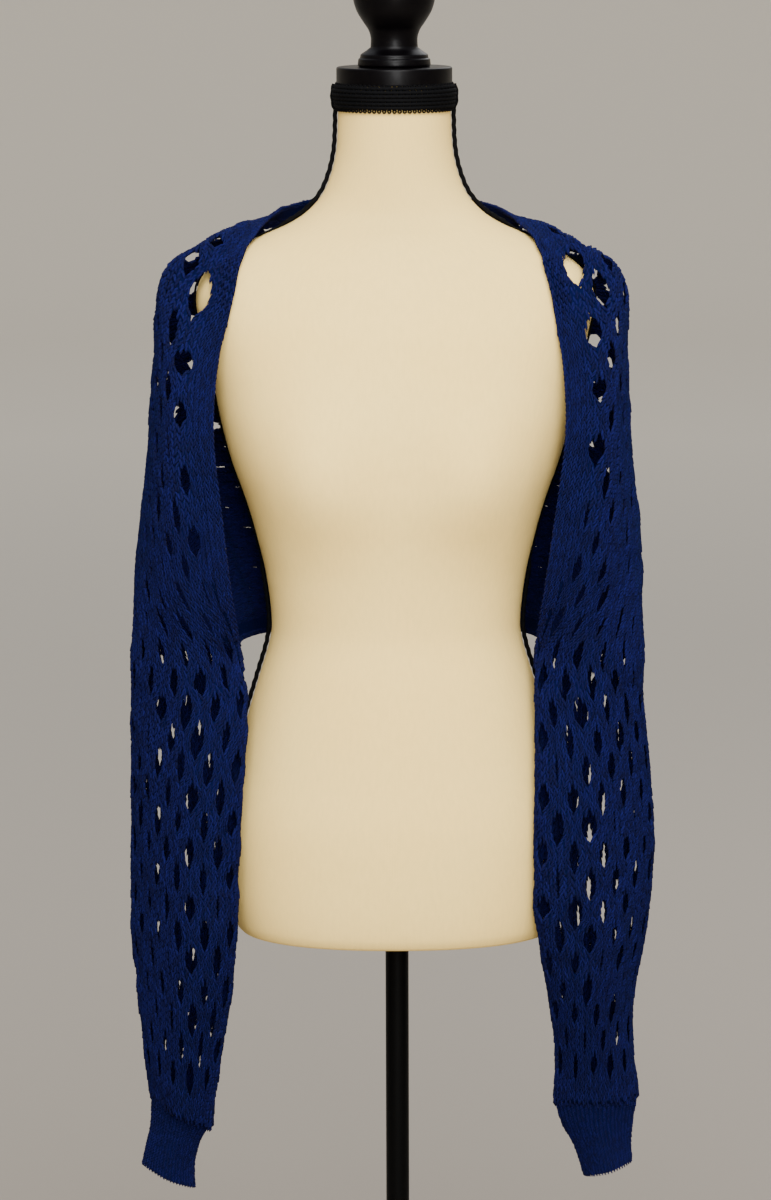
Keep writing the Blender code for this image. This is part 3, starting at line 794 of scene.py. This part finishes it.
def rumple(point):
    """How far the slack cloth swells out at a place."""
    fold = noise.noise(Vector(point * FOLD_CLOSE))
    bump = noise.noise(Vector(point * BUMP_CLOSE + BUMP_SHIFT))
    return max(0.0, FOLD_DEPTH * fold + BUMP_DEPTH * bump)


class Surface:
    """A grid of places and normals on cloth, read at any share down it and across it."""

    def __init__(self, places, closed, turn):
        self.places = places
        down = np.gradient(places, axis=0)
        across = np.gradient(places, axis=1)
        wrapped = np.roll(places[:, :-1], -1, axis=1) - np.roll(places[:, :-1], 1, axis=1)
        wrapped = np.concatenate([wrapped, wrapped[:, :1]], axis=1)
        across = np.where(np.array(closed)[:, None, None], wrapped, across)
        normals = turn * np.cross(across, down)
        self.normals = normals / np.linalg.norm(normals, axis=2)[:, :, None]

    def at(self, down, across):
        """The places and normals at arrays of shares down and across."""
        rows, columns = self.places.shape[:2]
        down = np.clip(down, 0, 1) * (rows - 1)
        across = np.clip(across, 0, 1) * (columns - 1)
        i = np.minimum(down.astype(int), rows - 2)
        j = np.minimum(across.astype(int), columns - 2)
        u = (down - i)[..., None]
        v = (across - j)[..., None]
        found = []
        for grid in (self.places, self.normals):
            near = grid[i, j] * (1 - v) + grid[i, j + 1] * v
            far = grid[i + 1, j] * (1 - v) + grid[i + 1, j + 1] * v
            found.append(near * (1 - u) + far * u)
        return found[0], found[1] / np.linalg.norm(found[1], axis=-1)[..., None]


class Half:
    """One side of the shrug, read by the length along its outer side from the back's middle."""

    def __init__(self, side):
        self.side = side
        sign = -1 if side == "left" else 1
        yoke = np.array(YOKE, float)
        yoke[:, :, 0] = yoke[:, :, 0] * sign - np.array(YOKE_SWAY)[:, None]
        sleeve = np.array([sleeve_row(row) for row in SLEEVES[side]], float)
        rows = np.concatenate([yoke, sleeve]) * MM
        fine = range(ROW_STEPS * (len(rows) - 1) + 1)
        outer = [spline(rows, i / ROW_STEPS)[2] for i in fine]
        steps = np.linalg.norm(np.diff(outer, axis=0), axis=1)
        lengths = np.concatenate([[0.0], np.cumsum(steps)])
        self.length = lengths[-1]
        self.underarm = lengths[ROW_STEPS * UNDERARM_ROW]
        self.tip = self.underarm + BAND_TAPER_END
        self.pitch = (self.length - BACK_ROWS * ROW_LENGTH) / SLEEVE_ROWS
        self.alongs = np.linspace(0.0, self.length, GRID_ROWS + 1)
        places, widths, closed = [], [], []
        for row in np.interp(self.alongs, lengths, np.arange(len(lengths)) / ROW_STEPS):
            knots = spline(rows, row)
            if row > UNDERARM_ROW:
                knots[[0, 4]] = (knots[0] + knots[4]) / 2
            shut = min(1.0, max(0.0, row - (UNDERARM_ROW - 1)))
            before = (1 - shut) * (2 * knots[0] - knots[1]) + shut * knots[3]
            after = (1 - shut) * (2 * knots[4] - knots[3]) + shut * knots[1]
            padded = np.concatenate([[before], knots, [after]])
            line = [spline(padded, 1 + 4 * i / SECTION_STEPS) for i in range(SECTION_STEPS + 1)]
            line, width = evenly(np.array([off_form(p) for p in line]), GRID_COLUMNS)
            places.append(line)
            widths.append(width)
            closed.append(row > UNDERARM_ROW)
        self.widths = np.array(widths)
        smooth = Surface(np.array(places), closed, -sign)
        swell = np.array([[rumple(p) for p in row] for row in smooth.places])
        rumpled = smooth.places + smooth.normals * swell[:, :, None]
        rumpled = np.array([[off_form(p) for p in row] for row in rumpled])
        self.surface = Surface(rumpled, closed, -sign)

    def width(self, along):
        """The cloth's width from free edge to free edge."""
        return np.interp(along, self.alongs, self.widths)

    def taper(self, along):
        """How far the bands have narrowed, from 0 to 1 at their tips."""
        start = self.underarm + BAND_TAPER_START
        return np.clip((along - start) / (self.tip - start), 0, 1)

    def band_width(self, along):
        """The width of the knitted bands, which narrow to a tip just below the underarm."""
        return BAND_WIDTH + self.taper(along) * (BAND_TIP - BAND_WIDTH)

    def share(self, along, column):
        """The share of the width at a column of the openwork between the bands."""
        banded = self.band_width(along) + self.taper(along) * TIP_GAP
        start = np.where(along < self.tip, banded, SEAM / 2) / self.width(along)
        return start + (1 - 2 * start) * column / COLUMNS

    def column(self, along):
        """The width of one of the solids' columns."""
        return self.width(along) * (1 - 2 * self.share(along, 0)) / COLUMNS

    def line(self, cell):
        """The length at a numbered line between the rows of gaps."""
        back = np.minimum(cell, BACK_ROWS) * ROW_LENGTH
        return back + np.maximum(cell - BACK_ROWS, 0) * self.pitch

    def at(self, along, share):
        """The places and normals on the cloth."""
        return self.surface.at(along / self.length, share)


halves = {"left": Half("left"), "right": Half("right")}

# The openwork
# Thick two-ply cotton yarn in royal blue, knitted in ribs that part round leaf-shaped gaps and
# meet again between them. Each rib is a few chains of stitches, and a stitch shows two legs.
GAP_SEED = 7
GAP_COLUMNS = 20
FIRST_GAP = 0.5
GAP_SPACING = 2 / 3
# Half the width of a gap where the cloth hangs narrow and where it is pulled wide, in mm
LARGE_GAP = (3.8, 10.5)
SMALL_GAP = (2.5, 8.5)
# How far the gaps open on the back, behind the arm and on the hanging sleeve's back
BACK_GAP = 0.5
ARM_GAP = 0.06
UNDER_GAP = 0.42
SHOULDER_COLUMNS = (8, 13)
# The share of gaps that are almost shut, and how far those open
SHUT_GAPS = 0.12
SHUT_SHARE = 0.2
# How unevenly the gaps lie, in mm, and open, and how long they are as shares of a row
GAP_SHIFT = 2.0
GAP_SPREAD = (0.6, 1.15)
GAP_LENGTHS = (0.7, 1.08)
GAP_ROUNDNESS = 2.4
COLUMN_NARROW = 16 * MM
COLUMN_WIDE = 26 * MM
GAP_HALF_LENGTH = (0.60, 0.62)
CHAIN_WIDTH = 5.2 * MM
STITCH = 6.4 * MM
YARN = 3.3 * MM
NET_STEP = 4.0 * MM
NET_WALL = 0.6 * MM
NET_INSET = 0.9 * MM
INSET_SHARE = 0.5
# A leg leans more where its chain is wide; its length is a share of the stitch
LEG_LEAN = 0.26
LEG_LENGTH = 2.0
LEG_WIDTH = 0.44
LEG_SIDES = 4
# Along the leg and up from the cloth, in shares of its length and thickness
LEG_RINGS = ((-0.27, -0.02), (0.25, 0.06))
LEG_DIP = -0.30
THICKEST_LEG = 3.2 * MM
# How unevenly the legs lean, stand out and swell
LEAN_SPREAD = (0.6, 1.4)
LEG_STRAY = 0.22 * MM
LEG_SPREAD = (0.88, 1.12)
CHAIN_START = (0.1, 0.9)
CHAIN_LIFT = 0.1 * MM
PLY_TURNS = 3.0

yarn, tree, shader = new_material(
    "Royal blue cotton yarn", "0a0e3e", 0.95, sheen_weight=0.04, sheen_roughness=0.5
)
shader.inputs["Sheen Tint"].default_value = linear("3f6ce0")
shader.inputs["Specular IOR Level"].default_value = 0.1
strand = add_node(tree, "ShaderNodeUVMap", uv_map="yarn").outputs["UV"]
ply_scale = add_node(
    tree,
    "ShaderNodeMapping",
    {"Vector": strand, "Scale": (PLY_TURNS * BANDS, 2 * BANDS, 1.0)},
)
plies = add_node(
    tree,
    "ShaderNodeTexWave",
    {"Vector": ply_scale.outputs["Vector"], "Scale": 1.0, "Distortion": 0.8},
    bands_direction="DIAGONAL",
)
place = add_node(tree, "ShaderNodeTexCoord").outputs["Object"]
lint = add_node(tree, "ShaderNodeTexNoise", {"Vector": place, "Scale": 900.0, "Detail": 2.0})
tone = add_node(tree, "ShaderNodeAttribute", attribute_name="tone").outputs["Fac"]
dyed = add_node(
    tree,
    "ShaderNodeMix",
    {"Factor": tone, "A": linear("06072b"), "B": linear("0b0d41")},
    data_type="RGBA",
)
# Painted shade and painted highlight: the ply twist's bands multiply the yarn's colour, darker in
# the grooves between the plies and a little lighter on their crowns.
ply_groove_shade = add_node(
    tree, "ShaderNodeMapRange", {"Value": plies.outputs["Fac"], "To Min": 0.62, "To Max": 1.08}
)
shaded = add_node(
    tree,
    "ShaderNodeMix",
    {"Factor": 1.0, "A": dyed.outputs["Result"], "B": ply_groove_shade.outputs["Result"]},
    data_type="RGBA",
    blend_type="MULTIPLY",
)
tree.links.new(shaded.outputs["Result"], shader.inputs["Base Color"])
relief = add_node(
    tree,
    "ShaderNodeMath",
    {0: lint.outputs["Fac"], 1: 0.5, 2: plies.outputs["Fac"]},
    operation="MULTIPLY_ADD",
)
add_bump(tree, relief.outputs["Value"], 0.0005, 0.8)

# Painted shade: the thin cloth under the stitches is the yarn coloured darker, to stand for the
# shade deep in the knitting between the ribs.
shaded_ground, tree, shader = new_material("Blue yarn darkened as painted shade in the stitches' depth", "03082a", 1.0)
shader.inputs["Specular IOR Level"].default_value = 0.05
place = add_node(tree, "ShaderNodeTexCoord").outputs["Object"]
lint = add_node(tree, "ShaderNodeTexNoise", {"Vector": place, "Scale": 420.0, "Detail": 3.0})
add_bump(tree, lint.outputs["Fac"], 0.0008, 0.7)

chance = np.random.default_rng(GAP_SEED)


def opened(half, column, cell):
    """The share by which a gap opens where the cloth is not pulled over the shoulder's front."""
    if cell < BACK_ROWS:
        return BACK_GAP
    if half.line(cell + 0.5) < half.underarm:
        return np.interp(column, SHOULDER_COLUMNS, (1.0, ARM_GAP))
    return UNDER_GAP if column > GAP_COLUMNS // 2 else 1.0


def set_gaps(half):
    """The gaps of one half: for each column their lengths from the back's middle and sizes."""
    phase = 0 if half.side == "left" else 1
    gaps = []
    for column in range(GAP_COLUMNS):
        kind = SMALL_GAP if column % 3 else LARGE_GAP
        spots = []
        for cell in range(BACK_ROWS + SLEEVE_ROWS - 1):
            if (cell + column + phase) % 2:
                continue
            along = half.line(cell + 0.5) + chance.uniform(-GAP_SHIFT, GAP_SHIFT) * MM
            pitch = half.line(cell + 1) - half.line(cell)
            wide = half.column(along)
            spread = np.clip((wide - COLUMN_NARROW) / (COLUMN_WIDE - COLUMN_NARROW), 0, 1)
            reach = np.interp(spread, (0, 1), kind) * MM / wide * chance.uniform(*GAP_SPREAD)
            reach *= opened(half, column, cell)
            if chance.uniform() < SHUT_GAPS:
                reach *= SHUT_SHARE
            length = pitch * np.interp(spread, (0, 1), GAP_HALF_LENGTH)
            spots.append((along, reach, length * chance.uniform(*GAP_LENGTHS)))
        gaps.append(spots)
    return gaps


def opening(half, gap, along):
    """Half the width of a column of gaps at these lengths, in the solids' columns."""
    wide = np.zeros_like(along)
    for middle, reach, length in half.gaps[gap]:
        away = np.abs(along - middle) / length
        wide = np.maximum(wide, reach * np.clip(1 - away ** GAP_ROUNDNESS, 0, 1))
    return wide


def rib_edges(half, rib, along, inset=0.0):
    """The columns where a rib starts and ends at these lengths, inset where it has a gap."""
    column = half.column(along)
    start, end = np.zeros_like(along), np.full_like(along, COLUMNS)
    if rib > 0:
        gap = opening(half, rib - 1, along)
        start = FIRST_GAP + GAP_SPACING * (rib - 1) + gap
        start = start + np.minimum(inset / column, gap * INSET_SHARE)
    if rib < GAP_COLUMNS:
        gap = opening(half, rib, along)
        end = FIRST_GAP + GAP_SPACING * rib - gap
        end = end - np.minimum(inset / column, gap * INSET_SHARE)
    return start, end


def leg_mesh():
    """One leg of a stitch: a plump strand of yarn that dips at both ends, one unit long."""
    sides = LEG_SIDES
    points, faces, uv = [(0.0, -0.5, LEG_DIP)], [], []
    for y, z in LEG_RINGS:
        for k in range(sides):
            angle = 2 * math.pi * k / sides
            points.append((0.5 * math.cos(angle), y, z + 0.5 * math.sin(angle)))
    points.append((0.0, 0.5, LEG_DIP))
    for k in range(sides):
        near, far = k / sides, (k + 1) / sides
        a, b = 1 + k, 1 + (k + 1) % sides
        faces += [(0, b, a), (a, b, b + sides, a + sides), (a + sides, b + sides, len(points) - 1)]
        uv += [(0.0, near), (0.3, far), (0.3, near)]
        uv += [(0.3, near), (0.3, far), (0.7, far), (0.7, near)]
        uv += [(0.7, near), (0.7, far), (1.0, near)]
    leg = new_piece("leg", points, faces, yarn, uv, sharp=180)
    leg.data.uv_layers[0].name = "yarn"
    return leg


def stitch_tree():
    """Geometry Nodes: a leg on every point, turned and sized by the point's own attributes."""
    group = bpy.data.node_groups.new("Knitted stitches", "GeometryNodeTree")
    group.interface.new_socket("Points", in_out="INPUT", socket_type="NodeSocketGeometry")
    group.interface.new_socket("Leg", in_out="INPUT", socket_type="NodeSocketObject")
    group.interface.new_socket("Yarn", in_out="INPUT", socket_type="NodeSocketMaterial")
    group.interface.new_socket("Stitches", in_out="OUTPUT", socket_type="NodeSocketGeometry")
    given = add_node(group, "NodeGroupInput")
    leg = add_node(group, "GeometryNodeObjectInfo", {"Object": given.outputs["Leg"]})
    read = [
        add_node(
            group, "GeometryNodeInputNamedAttribute", {"Name": name}, data_type="FLOAT_VECTOR"
        ).outputs["Attribute"]
        for name in ("run", "out", "size")
    ]
    turn = add_node(
        group,
        "FunctionNodeAxesToRotation",
        {"Primary Axis": read[1], "Secondary Axis": read[0]},
        primary_axis="Z",
        secondary_axis="Y",
    )
    legs = add_node(
        group,
        "GeometryNodeInstanceOnPoints",
        {
            "Points": given.outputs["Points"],
            "Instance": leg.outputs["Geometry"],
            "Rotation": turn.outputs["Rotation"],
            "Scale": read[2],
        },
    )
    real = add_node(group, "GeometryNodeRealizeInstances", {"Geometry": legs.outputs["Instances"]})
    dyed = add_node(
        group,
        "GeometryNodeSetMaterial",
        {"Geometry": real.outputs["Geometry"], "Material": given.outputs["Yarn"]},
    )
    add_node(group, "NodeGroupOutput", {"Stitches": dyed.outputs["Geometry"]})
    return group


leg_piece = leg_mesh()
stitches_tree = stitch_tree()


def chain_legs(centres, outs, widths, pitch, thickness, lift=0.0):
    """The legs of one chain of stitches: places, directions, normals, sizes and tones."""
    run = np.gradient(centres, axis=0)
    run /= np.linalg.norm(run, axis=1)[:, None]
    side = np.cross(outs, run)
    side /= np.linalg.norm(side, axis=1)[:, None]
    made = []
    for hand in (-1, 1):
        count = len(centres)
        lean = np.arctan(LEG_LEAN * widths / pitch) * chance.uniform(*LEAN_SPREAD, count)
        thick = np.minimum(widths * LEG_WIDTH, THICKEST_LEG)
        lean = lean[:, None] * hand
        place = centres + side * (hand * widths / 4)[:, None] + outs * lift
        place = place + run * (hand * pitch / 4)
        place = place + outs * chance.normal(0, LEG_STRAY, count)[:, None]
        along = run * np.cos(lean) + side * np.sin(lean)
        scale = chance.uniform(*LEG_SPREAD, count)
        size = np.stack(
            [thick * scale, np.full(count, pitch * LEG_LENGTH), thickness * scale], 1
        )
        made.append((place, along, outs, size, chance.uniform(0, 1, count)))
    return [np.concatenate(parts) for parts in zip(*made)]


def knit(name, chains):
    """A piece of stitches from the legs of many chains, made by the stitches' node tree."""
    places, runs, outs, sizes, tones = [np.concatenate(parts) for parts in zip(*chains)]
    mesh = bpy.data.meshes.new(name)
    mesh.vertices.add(len(places))
    mesh.vertices.foreach_set("co", places.astype(np.float32).ravel())
    for key, values in (("run", runs), ("out", outs), ("size", sizes)):
        mesh.attributes.new(key, "FLOAT_VECTOR", "POINT").data.foreach_set(
            "vector", values.astype(np.float32).ravel()
        )
    mesh.attributes.new("tone", "FLOAT", "POINT").data.foreach_set(
        "value", tones.astype(np.float32)
    )
    piece = bpy.data.objects.new(name, mesh)
    modifier = piece.modifiers.new("Knitted stitches", "NODES")
    modifier.node_group = stitches_tree
    sockets = stitches_tree.interface.items_tree
    modifier[sockets["Leg"].identifier] = leg_piece
    modifier[sockets["Yarn"].identifier] = yarn
    bpy.context.scene.collection.objects.link(piece)
    depsgraph = bpy.context.evaluated_depsgraph_get()
    made = bpy.data.meshes.new_from_object(
        piece.evaluated_get(depsgraph), preserve_all_data_layers=True, depsgraph=depsgraph
    )
    piece.modifiers.clear()
    piece.data = made
    for key in ("run", "out", "size"):
        if key in made.attributes:
            made.attributes.remove(made.attributes[key])
    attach(piece, "root")
    return piece


def walled(name, points, faces, thickness):
    """The thin cloth under one piece's stitches, dark as painted shade, with its wall's thickness.
    """
    piece = new_piece(name, points, faces, shaded_ground, sharp=60)
    wall = piece.modifiers.new("Wall", "SOLIDIFY")
    wall.thickness = thickness
    wall.offset = 0.0
    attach(piece, "root")
    return piece


def grid_faces(rows, columns, first=0):
    """The faces of a grid of points, row after row."""
    faces = []
    for i in range(rows - 1):
        for j in range(columns - 1):
            a = first + i * columns + j
            faces.append((a, a + 1, a + 1 + columns, a + columns))
    return faces


def rib_strip(half, along, rib, columns, hidden, inset):
    """A rib of one panel as three lines of points: its two edges and its middle."""
    left, right = (np.clip(edge, *columns) for edge in rib_edges(half, rib, along, inset))
    split = SEAM / 2 / half.width(along)
    lines = []
    for column in (left, (left + right) / 2, right):
        across = half.share(along, column)
        across = across + split * hidden[0] * (column <= columns[0])
        across = across - split * hidden[1] * (column >= columns[1])
        lines.append(half.at(along, across)[0])
    return np.array(lines)


def net(name, parts):
    """The thin cloth under the stitches: strips along the ribs, joined where no gap parts them.

    The parts are halves with their start, their end, their first and last column and whether
    those are split from the next panel. It also gives the cut: width, length and area.
    """
    points, faces = [], []
    widest, length, area = 0.0, 0.0, 0.0
    for half, start, end, columns, hidden in parts:
        count = max(2, round((end - start) / NET_STEP))
        along = np.linspace(start, end, count + 1)
        for rib in range(GAP_COLUMNS + 1):
            low, high = rib_edges(half, rib, along)
            if low.min() >= columns[1] or high.max() <= columns[0]:
                continue
            first = len(points)
            points.extend(rib_strip(half, along, rib, columns, hidden, NET_INSET).reshape(-1, 3))
            faces += grid_faces(3, count + 1, first)
            area += cell_areas(rib_strip(half, along, rib, columns, hidden, 0.0)).sum()
        widest = max(widest, half.column(along).max() * (columns[1] - columns[0]))
        length += end - start
    piece = walled(name, points, faces, NET_WALL)
    return piece, (float(widest), float(length)), float(area)


def panel_chains(half, start, end, ribs, face=1):
    """The chains of stitches of one openwork panel, on its outer side or, at -1, its inner."""
    count = round((end - start) / STITCH)
    pitch = (end - start) / count
    chains = []
    for rib in ribs:
        along = start + (np.arange(count) + 0.5) * pitch
        left, right = rib_edges(half, rib, along)
        number = max(1, round(float(np.mean((right - left) * half.column(along))) / CHAIN_WIDTH))
        for k in range(number):
            along = start + (np.arange(count) + chance.uniform(*CHAIN_START)) * pitch
            left, right = rib_edges(half, rib, along)
            column = left + (right - left) * (k + 0.5) / number
            places, outs = half.at(along, half.share(along, column))
            widths = (right - left) / number * half.column(along)
            chains.append(chain_legs(places, outs * face, widths, pitch, YARN, CHAIN_LIFT))
    return chains


def cell_areas(grid):
    """The areas of a grid's cells."""
    down = np.diff(grid, axis=0)[:, :-1]
    across = np.diff(grid, axis=1)[:-1]
    return np.linalg.norm(np.cross(down, across), axis=2)


for half in halves.values():
    half.gaps = set_gaps(half)

# The back panel
# The middle of the long strip, behind the form from one armhole seam to the other. It hangs from
# the shoulders, so its ribs run level and its gaps are pulled open.
ARMHOLE = BACK_ROWS * ROW_LENGTH

whole = (0, COLUMNS)
every_rib = range(GAP_COLUMNS + 1)
back_parts = [(half, 0.0, ARMHOLE - SEAM / 2, whole, (0, 0)) for half in halves.values()]
back_net, flat, area = net("back_net", back_parts)
chains = []
for half in halves.values():
    chains += panel_chains(half, 0.0, ARMHOLE - SEAM / 2, every_rib)
back_stitches = knit("back_stitches", chains)
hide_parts("back_panel")

# The sleeves
# Each is a tube of the same openwork in a front and a back layer, from the armhole seam over the
# shoulder and down to the cuff, where the cloth bunches and its gaps close up. Behind the arm the
# open front shows the inner side of some ribs, so those have stitches on both sides.
MIDDLE = COLUMNS // 2
MIDDLE_RIB = 11
# Where those ribs start among the back layer's
FIRST_INNER_RIB = 4

for side, half in halves.items():
    for layer, columns, hidden, ribs in (
        ("front", (0, MIDDLE), (0, 1), every_rib[:MIDDLE_RIB]),
        ("back", (MIDDLE, COLUMNS), (1, 0), every_rib[MIDDLE_RIB:]),
    ):
        label = "sleeve_{}_{}".format(side, layer)
        start = ARMHOLE + SEAM / 2
        end = half.length - SEAM / 2
        piece, flat, area = net(label + "_net", [(half, start, end, columns, hidden)])
        chains = panel_chains(half, start, end, ribs)
        if layer == "back":
            chains += panel_chains(half, start, half.underarm, ribs[FIRST_INNER_RIB:], -1)
        stitches = knit(label + "_stitches", chains)
        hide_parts(label)

# The bands
# Plain narrow knitting sewn along both free edges, at the neck and fronts and at the hem, four
# chains of stitches wide. Below the underarm the two meet and run out in a point.
BAND_CHAINS = 4
BAND_STITCH = 5.2 * MM
BAND_YARN = 3.2 * MM
BAND_SWELL = 1.5 * MM
BAND_WALL = 1.0 * MM
BAND_STEP = 6.0 * MM
# A chain goes on while this share of it is left of the band, for so many stitches or more
CHAIN_KEPT = 0.6
SHORTEST_CHAIN = 3

for name, at_hem in (("band_neck", False), ("band_hem", True)):
    points, chains = [], []
    for side in ("left", "right"):
        half = halves[side]
        count = round(half.tip / BAND_STEP)
        along = np.linspace(0.0, half.tip, count + 1)
        rows = []
        for k in range(BAND_CHAINS + 1):
            reach = SEAM / 2 + (half.band_width(along) - SEAM / 2) * k / BAND_CHAINS
            across = reach / half.width(along)
            rows.append(half.at(along, 1 - across if at_hem else across)[0])
        rows = np.array(rows)
        points.append(rows[:, ::-1] if side == "left" else rows[:, 1:])
        count = round(half.tip / BAND_STITCH)
        along = (np.arange(count) + 0.5) * half.tip / count
        for k in range(BAND_CHAINS):
            wide = BAND_WIDTH / BAND_CHAINS
            kept = half.band_width(along) >= wide * (k + CHAIN_KEPT)
            if kept.sum() < SHORTEST_CHAIN:
                continue
            across = wide * (k + 0.5) / half.width(along[kept])
            places, outs = half.at(along[kept], 1 - across if at_hem else across)
            widths = np.full(len(places), wide)
            swell = BAND_SWELL * math.sin(math.pi * (k + 0.5) / BAND_CHAINS)
            chains.append(chain_legs(places, outs, widths, half.tip / count, BAND_YARN, swell))
    grid = np.concatenate(points, axis=1)
    faces = grid_faces(*grid.shape[:2])
    piece = walled(name + "_cloth", grid.reshape(-1, 3), faces, BAND_WALL)
    stitches = knit(name + "_stitches", chains)
    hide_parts(name)

# The cuffs
# Fine ribbing at the end of each sleeve, one knitted wale and one sunk one in turn, which draws
# the sleeve in. Worn without a wrist inside, each cuff hangs flat and folds along its middle.
CUFFS = {
    "left": (
        (-167, -45, 561, -215, -41, 587, -59, -27),
        (-175, -43, 547, -216, -41, 563, -56, -28),
        (-180, -42, 526, -220, -42, 544, -57, -27),
        (-180, -42, 505, -224, -42, 527, -59, -25),
    ),
    "right": (
        (139, -45, 583, 209, -41, 585, -60, -25),
        (145, -43, 563, 206, -41, 565, -57, -27),
        (157, -42, 540, 204, -42, 545, -56, -28),
        (165, -42, 515, 205, -42, 528, -58, -26),
    ),
}
CUFF_ROWS = 30
CUFF_COLUMNS = 180
CUFF_STEPS = 96
CUFF_RIBS = 40
CUFF_DEPTH = 0.5 * MM
# How much of each rib's width its raised wale takes
CUFF_WALE = 0.72
CUFF_STITCH = 2.8 * MM
CUFF_YARN = 2.2 * MM
CUFF_WALL = 1.2 * MM

for side, sign in (("left", -1), ("right", 1)):
    rows = np.array([sleeve_row(row) for row in CUFFS[side]], float) * MM
    places = []
    for i in range(CUFF_ROWS + 1):
        knots = spline(rows, i * (len(rows) - 1) / CUFF_ROWS)
        padded = np.concatenate([[knots[3]], knots, [knots[1]]])
        line = np.array([spline(padded, 1 + 4 * k / CUFF_STEPS) for k in range(CUFF_STEPS + 1)])
        places.append(evenly(line, CUFF_COLUMNS)[0])
    tube = Surface(np.array(places), [True] * (CUFF_ROWS + 1), -sign)
    ribbed = tube.places.copy()
    for j in range(CUFF_COLUMNS + 1):
        depth = CUFF_DEPTH * math.cos(2 * math.pi * CUFF_RIBS * j / CUFF_COLUMNS)
        ribbed[:, j] += tube.normals[:, j] * depth
    faces = grid_faces(CUFF_ROWS + 1, CUFF_COLUMNS + 1)
    piece = walled("cuff_" + side + "_cloth", ribbed.reshape(-1, 3), faces, CUFF_WALL)
    length = np.linalg.norm(np.diff(tube.places[:, 0], axis=0), axis=1).sum()
    around = np.linalg.norm(np.diff(tube.places[0], axis=0), axis=1).sum()
    count = round(length / CUFF_STITCH)
    down = (np.arange(count) + 0.5) / count
    widths = np.full(count, around / CUFF_RIBS * CUFF_WALE)
    chains = []
    for rib in range(CUFF_RIBS):
        centres, outs = tube.at(down, np.full(count, (rib + 0.5) / CUFF_RIBS))
        chains.append(chain_legs(centres, outs, widths, length / count, CUFF_YARN, CUFF_DEPTH))
    stitches = knit("cuff_" + side + "_stitches", chains)
    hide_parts("cuff_" + side)

bpy.data.objects.remove(leg_piece, do_unlink=True)
